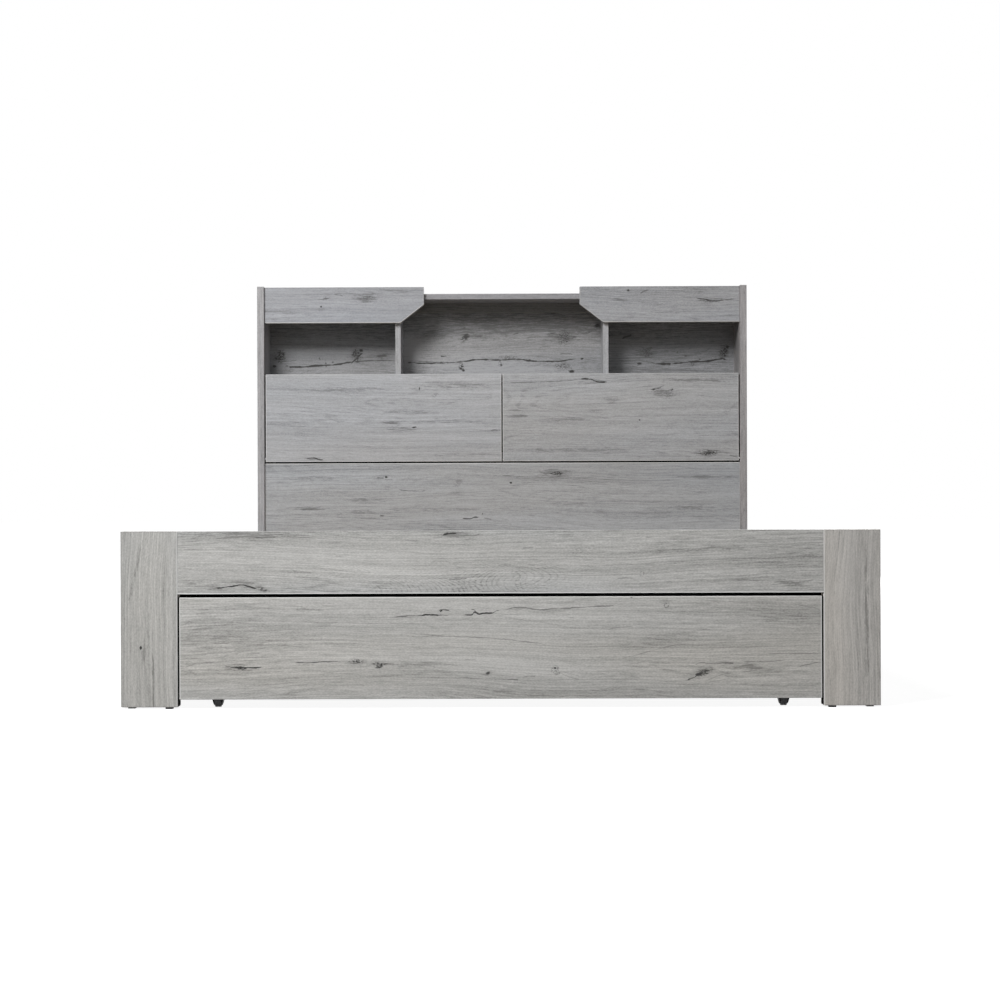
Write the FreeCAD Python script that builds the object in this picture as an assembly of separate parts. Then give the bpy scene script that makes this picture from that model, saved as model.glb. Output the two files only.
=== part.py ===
import FreeCAD, Part
import math
import os

from FreeCAD import Vector

# Storage bed with a bookcase headboard and a drawer on castors under its foot end.
# Millimetres. X runs across the bed, Y from the footboard to the headboard, Z up.
# The origin is on the floor, under the middle of the bed.

# Mattress and the room left round it
mattress_width = 1530.0
mattress_length = 2030.0
mattress_side_gap = 8.0
mattress_end_gap = 12.0

# Heights above the floor
headboard_height = 1130.0
footboard_height = 372.0
glide_height = 4.0

# Boards
board_thickness = 18.0
side_thickness = 22.0
post_thickness = 36.0
foot_rail_thickness = 22.0
drawer_board_thickness = 15.0
back_panel_thickness = 4.0
edge_bevel = 0.8

# Bookcase headboard
headboard_depth = 180.0
face_setback = 10.0
fascia_drop = 2.0
fascia_height = 116.0
fascia_end_height = 57.0
fascia_opening = 507.0
centre_recess_width = 660.0
shelf_drop = 22.5
cubby_height = 243.5
compartment_height = 273.0
shelf_batten_height = 32.0
lower_panel_floor_gap = 60.0
back_recess = 16.0
back_groove_depth = 8.0
back_groove_play = 0.2
rear_stretcher_height = 80.0

# Drop-flap doors and what they turn on
door_reveal = 0.5
door_side_gap = 3.5
door_centre_gap = 4.0
door_rest_gap = 0.3
door_sweep_clearance = 1.3
pivot_pin_radius = 4.0
pivot_pin_reach = 14.0
pivot_running_clearance = 0.05
bush_radius = 6.0
bush_length = 16.0
press_clearance = 0.02
pivot_plate_thickness = 2.0
pivot_plate_height = 30.0
pivot_plate_seat = 20.0
pivot_plate_nose = 8.0
strike_width = 32.0
strike_height = 12.0
strike_thickness = 1.0
strike_drop = 1.0
catch_width = 40.0
catch_depth = 22.0
catch_height = 13.0
catch_pole_width = 4.0
catch_pole_reach = 1.5
catch_pole_inset = 10.0
catch_pole_margin = 1.5
catch_gap = 0.3

# Side rails and the slatted base
side_rail_floor_gap = 35.0
side_rail_drop = 37.0
slat_recess = 67.0
slat_thickness = 18.0
slat_width = 70.0
slat_count = 14
slat_end_gap = 6.0
slat_margin = 20.0
slat_crown_bevel = 3.0
ledge_width = 25.0
ledge_height = 30.0
webbing_width = 25.0
webbing_thickness = 1.0
webbing_rail_distance = 265.0
beam_width = 40.0
beam_height = 45.0
beam_end_gap = 1.0
leg_width = 40.0
rear_leg_distance = 760.0
leg_foot_inset = 3.0
leg_foot_height = 8.0
cross_rail_floor_gap = 60.0
buffer_width = 20.0
buffer_length = 8.0
buffer_gap = 0.3
buffer_inset = 330.0

# Steel brackets and bolts
bracket_thickness = 2.5
corner_bracket_height = 110.0
corner_bracket_leg = 60.0
cross_bracket_height = 70.0
cross_bracket_leg = 40.0
hanger_thickness = 2.0
hanger_length = 38.0
hanger_flange = 24.0
hanger_flange_height = 50.0
bolt_radius = 4.0
bolt_grip = 14.0
bolt_head_across = 13.0
bolt_head_height = 5.0
bolt_clearance = 0.1

# Footboard
post_width = 119.0
foot_rail_height = 131.5
glide_width = 15.0
post_glide_inset = 19.0
post_glide_stagger = 6.0
side_glide_inset = 28.0

# Drawer
drawer_side_gap = 3.6
drawer_top_gap = 7.2
drawer_floor_gap = 20.0
drawer_depth = 680.0
drawer_side_inset = 12.0
drawer_headroom = 15.0
drawer_floor_thickness = 4.0
drawer_divider_drop = 10.0
bearer_width = 72.0
bearer_height = 18.0
corner_block_width = 18.0
corner_block_drop = 28.0

# Castors
wheel_radius = 15.0
wheel_width = 13.0
wheel_side_gap = 0.9
wheel_rim_gap = 1.5
axle_radius = 2.0
axle_running_clearance = 0.05
axle_inset = 0.4
castor_height = 40.0
castor_plate_thickness = 3.0
castor_plate_width = 44.0
castor_plate_length = 42.0
castor_top_width = 28.0
castor_shoulder_width = 25.0
castor_shoulder_height = 22.0
castor_toe_width = 17.6
castor_toe_height = 5.0
castor_length = 38.0
castor_cheek_radius = 11.0
castor_side_inset = 48.0
castor_end_inset = 25.0

# Places that follow from the sizes
half_width = mattress_width / 2 + mattress_side_gap + side_thickness
half_inside = half_width - side_thickness
half_length = (
    mattress_length + 2 * mattress_end_gap + post_thickness + headboard_depth - face_setback
) / 2
foot_y = -half_length
foot_back_y = foot_y + post_thickness
head_y = half_length
headboard_front_y = head_y - headboard_depth
face_front_y = headboard_front_y + face_setback
face_back_y = face_front_y + board_thickness
back_panel_back_y = head_y - back_recess
back_panel_front_y = back_panel_back_y - back_panel_thickness

shelf_top_z = headboard_height - shelf_drop
shelf_bottom_z = shelf_top_z - board_thickness
cubby_floor_z = shelf_bottom_z - cubby_height
cubby_floor_bottom_z = cubby_floor_z - board_thickness
compartment_floor_z = cubby_floor_bottom_z - compartment_height
compartment_floor_bottom_z = compartment_floor_z - board_thickness

side_rail_top_z = footboard_height - side_rail_drop
slat_top_z = side_rail_top_z - slat_recess
slat_bottom_z = slat_top_z - slat_thickness
beam_bottom_z = slat_bottom_z - beam_height
ledge_bottom_z = slat_bottom_z - ledge_height
corner_bracket_z = (side_rail_floor_gap + ledge_bottom_z - corner_bracket_height) / 2
cross_bracket_z = (cross_rail_floor_gap + beam_bottom_z - cross_bracket_height) / 2

foot_rail_back_y = foot_y + foot_rail_thickness
foot_rail_bottom_z = footboard_height - foot_rail_height
half_opening = half_width - post_width

drawer_front_back_y = foot_y + board_thickness
drawer_back_y = foot_y + drawer_depth
drawer_inner_back_y = drawer_back_y - drawer_board_thickness
drawer_front_half = half_opening - drawer_side_gap
drawer_box_half = drawer_front_half - drawer_side_inset
drawer_inside_half = drawer_box_half - drawer_board_thickness
drawer_box_bottom_z = castor_height
drawer_box_top_z = beam_bottom_z - drawer_headroom
drawer_floor_bottom_z = drawer_box_bottom_z + bearer_height
drawer_floor_top_z = drawer_floor_bottom_z + drawer_floor_thickness

cross_rail_front_y = drawer_back_y + buffer_gap + buffer_length
cross_rail_back_y = cross_rail_front_y + board_thickness

door_back_y = face_back_y - door_rest_gap
door_front_y = door_back_y - board_thickness
door_pivot_y = (door_front_y + door_back_y) / 2
door_corner_reach = math.hypot(board_thickness / 2, board_thickness / 2)
door_bottom_z = compartment_floor_z + door_corner_reach - board_thickness / 2 + door_sweep_clearance
door_pivot_z = door_bottom_z + board_thickness / 2
door_top_z = cubby_floor_z - door_reveal
door_outer_x = half_inside - door_side_gap
door_inner_x = door_centre_gap / 2
door_middle_x = (door_outer_x + door_inner_x) / 2
partition_front_y = door_pivot_y + door_corner_reach + door_sweep_clearance

castor_x = drawer_inside_half - castor_side_inset
castor_ys = {
    "front": drawer_front_back_y + castor_end_inset,
    "back": drawer_inner_back_y - castor_end_inset,
}
sides = {"left": -1, "right": 1}

nodes = {}
holes = {}


def box(x, y, z):
    """A box between two limits along each axis."""
    low = Vector(min(x), min(y), min(z))
    return Part.makeBox(max(x) - low.x, max(y) - low.y, max(z) - low.z, low)


def board(x, y, z, bevel=edge_bevel):
    """A sawn and edged board: a box with every edge eased."""
    solid = box(x, y, z)
    return solid.makeChamfer(bevel, solid.Edges)


def rod(start, along, radius, length):
    """A round bar from a point, along a direction."""
    return Part.makeCylinder(radius, length, start, along)


def prism(points, along):
    """A flat outline pushed along a vector."""
    return Part.Face(Part.makePolygon(points + points[:1])).extrude(along)


def about(middle, half):
    """Two limits at equal distances from a middle."""
    return (middle - half, middle + half)


def glide(x, y):
    """A square plastic glide nailed under a board's edge."""
    return box(about(x, glide_width / 2), about(y, glide_width / 2), (0, glide_height))


def keep(name, *solids):
    """Files the solids of one sub-part under its name."""
    nodes.setdefault(name, []).extend(solids)


def drill(name, *tools):
    """Notes the cuts that a sub-part gets once everything is placed."""
    holes.setdefault(name, []).extend(tools)


def bolt(start, along, board_name):
    """A hexagon-head bolt whose head stands on a bracket; the board behind is drilled for it."""
    grip = bracket_thickness + bolt_grip
    corner_radius = bolt_head_across / math.sqrt(3)
    aside = along.cross(Vector(0, 0, 1))
    corners = []
    for number in range(6):
        turn = math.pi * number / 3
        across = aside * math.cos(turn) + Vector(0, 0, math.sin(turn))
        corners.append(start + across * corner_radius)
    head = prism(corners, -along * bolt_head_height)
    keep("bed_bolts", head.fuse(rod(start, along, bolt_radius, grip)))
    drill(board_name, rod(start, along, bolt_radius + bolt_clearance, grip + bolt_clearance))


def angle_bracket(name, corner, side, run, height, leg, bolted=()):
    """A steel angle in the inside corner of two boards, bolted through each leg where boards are named.

    run is +1 where the second leg's board lies towards the footboard, and -1 towards the headboard.
    """
    x_in = corner.x - side * bracket_thickness
    y_in = corner.y + run * bracket_thickness
    rise = (corner.z, corner.z + height)
    along_rail = box((x_in, corner.x), (corner.y, corner.y + run * leg), rise)
    across = box((corner.x - side * leg, corner.x), (corner.y, y_in), rise)
    steel = along_rail.fuse(across).removeSplitter()
    middle_z = corner.z + height / 2
    middle = (leg + bracket_thickness) / 2
    rail_start = Vector(x_in, corner.y + run * middle, middle_z)
    cross_start = Vector(corner.x - side * middle, y_in, middle_z)
    places = ((rail_start, Vector(side, 0, 0)), (cross_start, Vector(0, -run, 0)))
    for (start, along), board_name in zip(places, bolted):
        bolt(start, along, board_name)
        steel = steel.cut(rod(start, along, bolt_radius + bolt_clearance, bracket_thickness))
    keep(name, steel)


def headboard():
    """The bookcase headboard, without its doors."""
    upright = (glide_height, headboard_height)
    inside = (-half_inside, half_inside)
    shelf_run = (face_back_y, back_panel_front_y)
    face_run = (face_front_y, face_back_y)
    groove_run = (back_panel_front_y - back_groove_play, back_panel_back_y + back_groove_play)
    panel_rise = (compartment_floor_bottom_z, shelf_top_z)
    panel_half = half_inside + back_groove_depth - back_groove_play
    fascia_top_z = headboard_height - fascia_drop
    for name, side in sides.items():
        inner = side * half_inside
        panel = board((inner, side * half_width), (headboard_front_y, head_y), upright)
        groove = box((inner, inner + side * back_groove_depth), groove_run, panel_rise)
        keep(f"headboard_side_{name}", panel.cut(groove))

        # A long fascia whose inner lower corner is cut back to the divider behind it
        end_x = side * fascia_opening / 2
        foot_x = side * centre_recess_width / 2
        outline = [
            Vector(inner, face_front_y, fascia_top_z),
            Vector(end_x, face_front_y, fascia_top_z),
            Vector(end_x, face_front_y, fascia_top_z - fascia_end_height),
            Vector(foot_x, face_front_y, fascia_top_z - fascia_height),
            Vector(inner, face_front_y, fascia_top_z - fascia_height),
        ]
        fascia = prism(outline, Vector(0, board_thickness, 0))
        keep(f"headboard_fascia_{name}", fascia.makeChamfer(edge_bevel, fascia.Edges))

        divider_x = (foot_x, foot_x + side * board_thickness)
        keep(f"cubby_divider_{name}", board(divider_x, shelf_run, (cubby_floor_z, shelf_bottom_z)))

        for y in (headboard_front_y + side_glide_inset, head_y - side_glide_inset):
            keep("headboard_glides", glide(side * (half_width - side_thickness / 2), y))

    keep("headboard_top_shelf", board(inside, shelf_run, (shelf_bottom_z, shelf_top_z)))
    keep("headboard_shelf_batten",
         board(about(0, centre_recess_width / 2),
               (back_panel_front_y - board_thickness, back_panel_front_y),
               (shelf_bottom_z - shelf_batten_height, shelf_bottom_z)))
    keep("cubby_floor_board", board(inside, shelf_run, (cubby_floor_bottom_z, cubby_floor_z)))
    keep("compartment_floor_board",
         board(inside, shelf_run, (compartment_floor_bottom_z, compartment_floor_z)))
    keep("compartment_partition",
         board(about(0, board_thickness / 2), (partition_front_y, back_panel_front_y),
               (compartment_floor_z, cubby_floor_bottom_z)))
    keep("headboard_lower_panel",
         board(inside, face_run, (lower_panel_floor_gap, compartment_floor_z)))
    keep("headboard_back_panel",
         box((-panel_half, panel_half), (back_panel_front_y, back_panel_back_y), panel_rise))
    keep("headboard_rear_stretcher",
         box(inside, (back_panel_front_y - board_thickness, back_panel_front_y),
             (lower_panel_floor_gap, lower_panel_floor_gap + rear_stretcher_height)))


def footboard():
    """Two wide posts on glides, with a rail flush between their upper ends."""
    keep("footboard_rail", board((-half_opening, half_opening), (foot_y, foot_rail_back_y),
                                 (foot_rail_bottom_z, footboard_height)))
    post_middle_y = foot_y + post_thickness / 2
    for name, side in sides.items():
        inner = side * half_opening
        keep(f"footboard_post_{name}", board((inner, side * half_width), (foot_y, foot_back_y),
                                             (glide_height, footboard_height)))
        keep("footboard_glides",
             glide(inner + side * post_glide_inset, post_middle_y - post_glide_stagger),
             glide(side * (half_width - post_glide_inset), post_middle_y + post_glide_stagger))


def side_rails():
    """The long side rails, the ledges for the slats and the steel angles at the corners."""
    rail_rise = (side_rail_floor_gap, side_rail_top_z)
    for name, side in sides.items():
        rail = f"side_rail_{name}"
        inner = side * half_inside
        keep(rail, board((inner, side * half_width), (foot_back_y, headboard_front_y), rail_rise))
        keep(f"slat_ledge_{name}",
             box((inner - side * ledge_width, inner), (foot_back_y, face_front_y),
                 (ledge_bottom_z, slat_bottom_z)))
        angle_bracket("corner_brackets", Vector(inner, foot_back_y, corner_bracket_z), side, 1,
                      corner_bracket_height, corner_bracket_leg, (rail, f"footboard_post_{name}"))
        angle_bracket("corner_brackets", Vector(inner, face_front_y, corner_bracket_z), side, -1,
                      corner_bracket_height, corner_bracket_leg, (rail, "headboard_lower_panel"))
        angle_bracket("cross_rail_brackets", Vector(inner, cross_rail_back_y, cross_bracket_z), side, 1,
                      cross_bracket_height, cross_bracket_leg)


def beam_hanger(wall_y, run):
    """A steel stirrup screwed to a wall; the end of the centre beam lies in it."""
    inner_half = beam_width / 2
    outer_half = inner_half + hanger_thickness
    base_z = beam_bottom_z - hanger_thickness
    flange_top_z = beam_bottom_z + beam_height + hanger_flange_height
    reach = (wall_y, wall_y + run * hanger_length)
    trough = box(about(0, outer_half), reach, (base_z, slat_bottom_z))
    trough = trough.cut(box(about(0, inner_half), reach, (beam_bottom_z, slat_bottom_z)))
    flange = box(about(0, outer_half + hanger_flange), (wall_y, wall_y + run * hanger_thickness),
                 (slat_bottom_z, flange_top_z))
    return trough.fuse(flange).removeSplitter()


def slatted_base():
    """The centre beam on its legs and hangers, the cross rail, the slats and their webbing."""
    inside = (-half_inside, half_inside)
    beam_start_y = foot_rail_back_y + hanger_thickness + beam_end_gap
    beam_end_y = face_front_y - hanger_thickness - beam_end_gap
    keep("centre_beam", box(about(0, beam_width / 2), (beam_start_y, beam_end_y),
                            (beam_bottom_z, slat_bottom_z)))
    keep("beam_hangers", beam_hanger(foot_rail_back_y, 1), beam_hanger(face_front_y, -1))

    keep("under_bed_cross_rail", box(inside, (cross_rail_front_y, cross_rail_back_y),
                                     (cross_rail_floor_gap, beam_bottom_z)))
    buffer_z = (drawer_box_bottom_z + drawer_box_top_z) / 2
    for side in sides.values():
        keep("drawer_buffers",
             box(about(side * buffer_inset, buffer_width / 2),
                 (cross_rail_front_y - buffer_length, cross_rail_front_y),
                 about(buffer_z, buffer_width / 2)))

    first_leg_y = cross_rail_back_y
    for y in (first_leg_y, first_leg_y + rear_leg_distance):
        keep("centre_legs", box(about(0, leg_width / 2), (y, y + leg_width),
                                (leg_foot_height, beam_bottom_z)))
        foot_half = leg_width / 2 - leg_foot_inset
        keep("centre_leg_feet", box(about(0, foot_half), about(y + leg_width / 2, foot_half),
                                    (0, leg_foot_height)))

    slat_half = half_inside - slat_end_gap
    first_y = foot_back_y + slat_margin
    pitch = (face_front_y - slat_margin - slat_width - first_y) / (slat_count - 1)
    for number in range(slat_count):
        y = first_y + number * pitch
        slat = box((-slat_half, slat_half), (y, y + slat_width), (slat_bottom_z, slat_top_z))
        long_top = [e for e in slat.Edges if abs(e.CenterOfMass.x) < edge_bevel
                    and e.CenterOfMass.z > slat_bottom_z + slat_thickness / 2]
        keep("slats", slat.makeChamfer(slat_crown_bevel, long_top))
    last_y = face_front_y - slat_margin
    for side in sides.values():
        x = side * (half_inside - webbing_rail_distance)
        keep("slat_webbing", box(about(x, webbing_width / 2), (first_y, last_y),
                                 (slat_top_z, slat_top_z + webbing_thickness)))


def flap_doors():
    """Two doors that drop forwards on pins near their bottom edges, with their magnetic catches."""
    rise = (door_bottom_z, door_top_z)
    bore = pivot_pin_radius + pivot_running_clearance
    pin_seat = pivot_pin_radius + press_clearance
    bush_seat = bush_radius + press_clearance
    strike_top_z = cubby_floor_bottom_z - strike_drop
    catch_front_y = door_back_y + strike_thickness + catch_gap
    for name, side in sides.items():
        door = f"flap_door_{name}"
        inner_x = side * door_inner_x
        outer_x = side * door_outer_x
        keep(door, board((inner_x, outer_x), (door_front_y, door_back_y), rise))

        # A nylon bush in each end of the door, round the pin it turns on
        for end_x, inward in ((inner_x, side), (outer_x, -side)):
            start = Vector(end_x, door_pivot_y, door_pivot_z)
            along = Vector(inward, 0, 0)
            bush = rod(start, along, bush_radius, bush_length)
            keep(f"flap_bushes_{name}", bush.cut(rod(start, along, bore, bush_length)))
            drill(door, rod(start, along, bush_seat, bush_length))

        # The outer pin is pressed into the side panel
        pin_start = Vector(side * (half_inside + pivot_pin_reach), door_pivot_y, door_pivot_z)
        pin_length = 2 * pivot_pin_reach + door_side_gap
        keep("flap_outer_pins", rod(pin_start, Vector(-side, 0, 0), pivot_pin_radius, pin_length))
        drill(f"headboard_side_{name}",
              rod(pin_start, Vector(-side, 0, 0), pin_seat, pivot_pin_reach))

        strike = box(about(side * door_middle_x, strike_width / 2),
                     (door_back_y, door_back_y + strike_thickness),
                     (strike_top_z - strike_height, strike_top_z))
        keep(f"flap_strike_{name}", strike)
        keep("magnet_catches", magnet_catch(side * door_middle_x, catch_front_y))

    # The steel plate in the gap between the doors carries the inner pin of both
    plate_half = pivot_plate_thickness / 2
    plate_front_y = door_pivot_y - pivot_plate_nose
    plate_back_y = partition_front_y + pivot_plate_seat
    plate = box((-plate_half, plate_half), (plate_front_y, plate_back_y),
                (compartment_floor_z, compartment_floor_z + pivot_plate_height))
    pin_half = door_inner_x + pivot_pin_reach
    pin = rod(Vector(-pin_half, door_pivot_y, door_pivot_z), Vector(1, 0, 0),
              pivot_pin_radius, 2 * pin_half)
    keep("flap_centre_pivot", plate.fuse(pin))
    kerf_half = plate_half + press_clearance
    drill("compartment_partition",
          box((-kerf_half, kerf_half), (partition_front_y, plate_back_y + press_clearance),
              (compartment_floor_z, compartment_floor_z + pivot_plate_height + press_clearance)))


def magnet_catch(x, front_y):
    """A catch under the cubby floor: a moulded body with two steel poles that stand a little proud."""
    poles_y = (front_y, front_y + catch_pole_reach)
    body = board(about(x, catch_width / 2), (front_y + catch_pole_reach, front_y + catch_depth),
                 (cubby_floor_bottom_z - catch_height, cubby_floor_bottom_z))
    pole_z = (cubby_floor_bottom_z - catch_height + catch_pole_margin,
              cubby_floor_bottom_z - catch_pole_margin)
    pole_offset = catch_width / 2 - catch_pole_inset
    for offset in (-pole_offset, pole_offset):
        body = body.fuse(box(about(x + offset, catch_pole_width / 2), poles_y, pole_z))
    return body


def drawer():
    """The wide drawer: its front, box, two floors and the bearers that its castors are screwed to."""
    front_rise = (drawer_floor_gap, foot_rail_bottom_z - drawer_top_gap)
    box_rise = (drawer_box_bottom_z, drawer_box_top_z)
    inner_run = (drawer_front_back_y, drawer_inner_back_y)
    half_divider = drawer_board_thickness / 2
    bearer_rise = (drawer_box_bottom_z, drawer_floor_bottom_z)
    floor_rise = (drawer_floor_bottom_z, drawer_floor_top_z)
    keep("drawer_front",
         board((-drawer_front_half, drawer_front_half), (foot_y, drawer_front_back_y), front_rise))
    keep("drawer_back", board((-drawer_inside_half, drawer_inside_half),
                              (drawer_inner_back_y, drawer_back_y), box_rise))
    keep("drawer_divider", board(about(0, half_divider), inner_run,
                                 (drawer_floor_bottom_z, drawer_box_top_z - drawer_divider_drop)))
    keep("drawer_bearers", box(about(0, bearer_width / 2), inner_run, bearer_rise))
    for name, side in sides.items():
        inner = side * drawer_inside_half
        keep(f"drawer_side_{name}", board((inner, side * drawer_box_half),
                                          (drawer_front_back_y, drawer_back_y), box_rise))
        keep("drawer_bearers", box((inner - side * bearer_width, inner), inner_run, bearer_rise))
        keep("drawer_floor_panels", box((side * half_divider, inner), inner_run, floor_rise))
        keep("drawer_corner_blocks",
             box((inner - side * corner_block_width, inner),
                 (drawer_front_back_y, drawer_front_back_y + corner_block_width),
                 (drawer_floor_top_z, drawer_box_top_z - corner_block_drop)))


def castor_housing(x, y):
    """A fixed castor's moulded housing: a plate, and a hollow body that narrows to two rounded cheeks."""
    plate_bottom_z = castor_height - castor_plate_thickness
    front_view = [
        Vector(x - castor_toe_width / 2, y - castor_length / 2, castor_toe_height - wheel_radius),
        Vector(x - castor_toe_width / 2, y - castor_length / 2, castor_toe_height),
        Vector(x - castor_shoulder_width / 2, y - castor_length / 2, castor_shoulder_height),
        Vector(x - castor_top_width / 2, y - castor_length / 2, plate_bottom_z),
    ]
    front_view += [Vector(2 * x - p.x, p.y, p.z) for p in reversed(front_view)]
    body = prism(front_view, Vector(0, castor_length, 0))
    side_view = prism(
        [
            Vector(x - castor_top_width, y - castor_length / 2, plate_bottom_z),
            Vector(x - castor_top_width, y + castor_length / 2, plate_bottom_z),
            Vector(x - castor_top_width, y + castor_cheek_radius, wheel_radius),
            Vector(x - castor_top_width, y - castor_cheek_radius, wheel_radius),
        ],
        Vector(2 * castor_top_width, 0, 0),
    )
    cheeks = rod(Vector(x - castor_top_width, y, wheel_radius), Vector(1, 0, 0),
                 castor_cheek_radius, 2 * castor_top_width)
    body = body.common(side_view.fuse(cheeks))
    cavity = box(about(x, wheel_width / 2 + wheel_side_gap), about(y, wheel_radius + wheel_rim_gap),
                 (0, 2 * wheel_radius + wheel_rim_gap))
    axle_hole = rod(Vector(x - castor_top_width, y, wheel_radius), Vector(1, 0, 0),
                    axle_radius + press_clearance, 2 * castor_top_width)
    plate = box(about(x, castor_plate_width / 2), about(y, castor_plate_length / 2),
                (plate_bottom_z, castor_height))
    return body.cut([cavity, axle_hole]).fuse(plate)


def castor_wheel(x, y):
    """A moulded roller, bored for its axle."""
    start = Vector(x - wheel_width / 2, y, wheel_radius)
    axis = Vector(1, 0, 0)
    bore = rod(start, axis, axle_radius + axle_running_clearance, wheel_width)
    return rod(start, axis, wheel_radius, wheel_width).cut(bore)


def castors():
    """Four fixed castors under the drawer's outer bearers."""
    axis = Vector(1, 0, 0)
    width_rise = (castor_shoulder_width - castor_toe_width) / (castor_shoulder_height - castor_toe_height)
    cheek_width = castor_toe_width + width_rise * (wheel_radius - castor_toe_height)
    axle_half = cheek_width / 2 - axle_inset
    for side_name, side in sides.items():
        for end_name, y in castor_ys.items():
            x = side * castor_x
            keep("castor_housings", castor_housing(x, y))
            keep("castor_axles", rod(Vector(x - axle_half, y, wheel_radius), axis,
                                     axle_radius, 2 * axle_half))
            keep(f"castor_wheel_{end_name}_{side_name}", castor_wheel(x, y))


def finished(name):
    """One sub-part with its cuts made, as a solid or a group of solids."""
    solids = nodes[name]
    if name in holes:
        solids = [solid.cut(holes[name]) for solid in solids]
    if len(solids) == 1:
        return solids[0]
    return Part.makeCompound(solids)


def main():
    os.makedirs("parts", exist_ok=True)
    headboard()
    footboard()
    side_rails()
    slatted_base()
    flap_doors()
    drawer()
    castors()
    for name in nodes:
        shape = finished(name)
        shape.exportStep(f"parts/{name}.step")
    print(len(nodes), "nodes,", sum(len(s) for s in nodes.values()), "solids")
    print("doors turn about y", round(door_pivot_y, 3), "z", round(door_pivot_z, 3))
    print("castors at x", castor_x, "y", castor_ys)


main()
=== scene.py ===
import math
from collections import namedtuple

import bmesh
import bpy
from mathutils import Euler, Matrix, Vector


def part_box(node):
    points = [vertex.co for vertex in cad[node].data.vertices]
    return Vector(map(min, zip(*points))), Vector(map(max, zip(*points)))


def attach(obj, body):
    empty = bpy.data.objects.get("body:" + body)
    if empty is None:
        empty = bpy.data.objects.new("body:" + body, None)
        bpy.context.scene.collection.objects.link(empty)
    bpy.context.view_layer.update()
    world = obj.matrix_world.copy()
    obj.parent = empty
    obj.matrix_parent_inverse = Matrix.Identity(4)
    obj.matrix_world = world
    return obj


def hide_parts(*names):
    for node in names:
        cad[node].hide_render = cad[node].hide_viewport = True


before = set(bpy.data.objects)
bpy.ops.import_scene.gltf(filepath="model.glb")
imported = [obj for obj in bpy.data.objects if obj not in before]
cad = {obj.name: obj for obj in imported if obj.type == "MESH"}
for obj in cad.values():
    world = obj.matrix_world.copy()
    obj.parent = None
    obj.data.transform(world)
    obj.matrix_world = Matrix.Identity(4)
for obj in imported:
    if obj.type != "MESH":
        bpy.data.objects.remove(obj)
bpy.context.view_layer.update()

# Storage bed with a bookcase headboard and a drawer on castors, in metres.
# X runs across the bed, Y from the footboard to the headboard, Z up.

scene = bpy.context.scene

# Where the picture was taken from, and with what lens
camera_place = (0.0139, -4.8924, 0.4389)
camera_turn = 0.0037
camera_rise = -0.0008
camera_roll = 0.0033
camera_lens = 64.75
sensor_width = 36.0

# The lamps: where they stand, where they point, their width and height, their power
lamps = {
    "key": ((-1.8, -2.7, 3.4), (0.0, 0.2, 0.6), (1.6, 1.6), 221.0),
    "fill": ((2.6, -3.6, 3.2), (0.0, 0.2, 0.6), (1.6, 1.6), 20.0),
    "rear": ((2.4, 4.6, 1.5), (0.0, 1.1, 0.5), (2.0, 2.0), 120.0),
}

# The room and its floor, which glows a little less near the bed
room_light = 0.022
floor_size = 60.0
floor_white = 0.30
floor_roughness = 0.9
floor_glow = 0.92
glow_near = 1.6
glow_far = 4.0

# Colours of the finishes, as linear values
oak_dark = (0.200, 0.199, 0.192)
oak_light = (0.560, 0.558, 0.546)
knot_colour = (0.055, 0.053, 0.050)
crack_colour = (0.020, 0.019, 0.018)
# Pale colour of the lines along board edges: partly the edging, partly painted highlight where an edge meets
# shade
edging_and_highlight_colour = (0.72, 0.72, 0.71)
pine_light = (0.70, 0.58, 0.43)
pine_dark = (0.50, 0.37, 0.24)
foil_dark = (0.43, 0.42, 0.40)
foil_light = (0.62, 0.61, 0.59)
tape_dark = (0.60, 0.60, 0.57)
tape_light = (0.80, 0.80, 0.77)

# The oak print's layers: repeats per metre along and across the grain, detail, roughness, strength
oak_layers = {
    "cloud": (0.9, 16.0, 3.0, 0.55, 0.75),
    "streak": (2.2, 90.0, 3.0, 0.6, 0.42),
    "fibre": (1.3, 330.0, 3.0, 0.7, 1.30),
    "thread": (24.0, 260.0, 3.0, 0.7, 0.90),
    "speck": (220.0, 560.0, 1.0, 0.5, 0.85),
}

# Its bends, growth lines, hair lines and pores. A noise is given as repeats per metre along and
# across, detail and roughness, a range as the low and high end and what they turn into.
slow_bend = (0.9, 2.6)
slow_bend_reach = 0.090
quick_bend = (4.0, 14.0)
quick_bend_reach = 0.013
growth_field = (0.9, 7.5, 1.0, 0.4)
growth_count = 215.0
growth_edges = (0.1, 1.0)
growth_patches = (2.0, 11.0, 1.0)
growth_patch_range = (0.44, 0.62)
growth_breaks = (0.36, 0.62, 1.5, 0.1)
growth_strength = -0.20
hair_field = (2.4, 38.0, 1.0, 0.4)
hair_edges = (0.003, 0.020)
hair_patches = (5.0, 24.0, 1.0)
hair_patch_range = (0.46, 0.62)
hair_strength = -0.22
print_lift = 0.05
pore_dashes = (46.0, 540.0, 1.0, 0.5)
pore_dash_range = (0.60, 0.72)
pore_patches = (3.0, 40.0, 2.0, 0.5)
pore_patch_range = (0.44, 0.64)
pore_depth = -0.8
pore_strength = 0.28

# How a board's tint drifts, and what one step of warmth or redness does
seed_shift = (3.7, 1.3, 0.9)
tint_patches = (1.2, 7.0, 1.0)
tint_range = (0.35, 0.65)
warm_tint = (0.009, 0.0, -0.012)
cool_tint = (-0.008, 0.0, 0.012)
red_per_hue = 0.012
green_per_rose = 0.0138
blue_per_hue = 0.022
oak_bump = (0.16, 0.0004)
end_facing = 0.7
oak_roughness = (0.2, 0.8, 0.50, 0.62)

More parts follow.
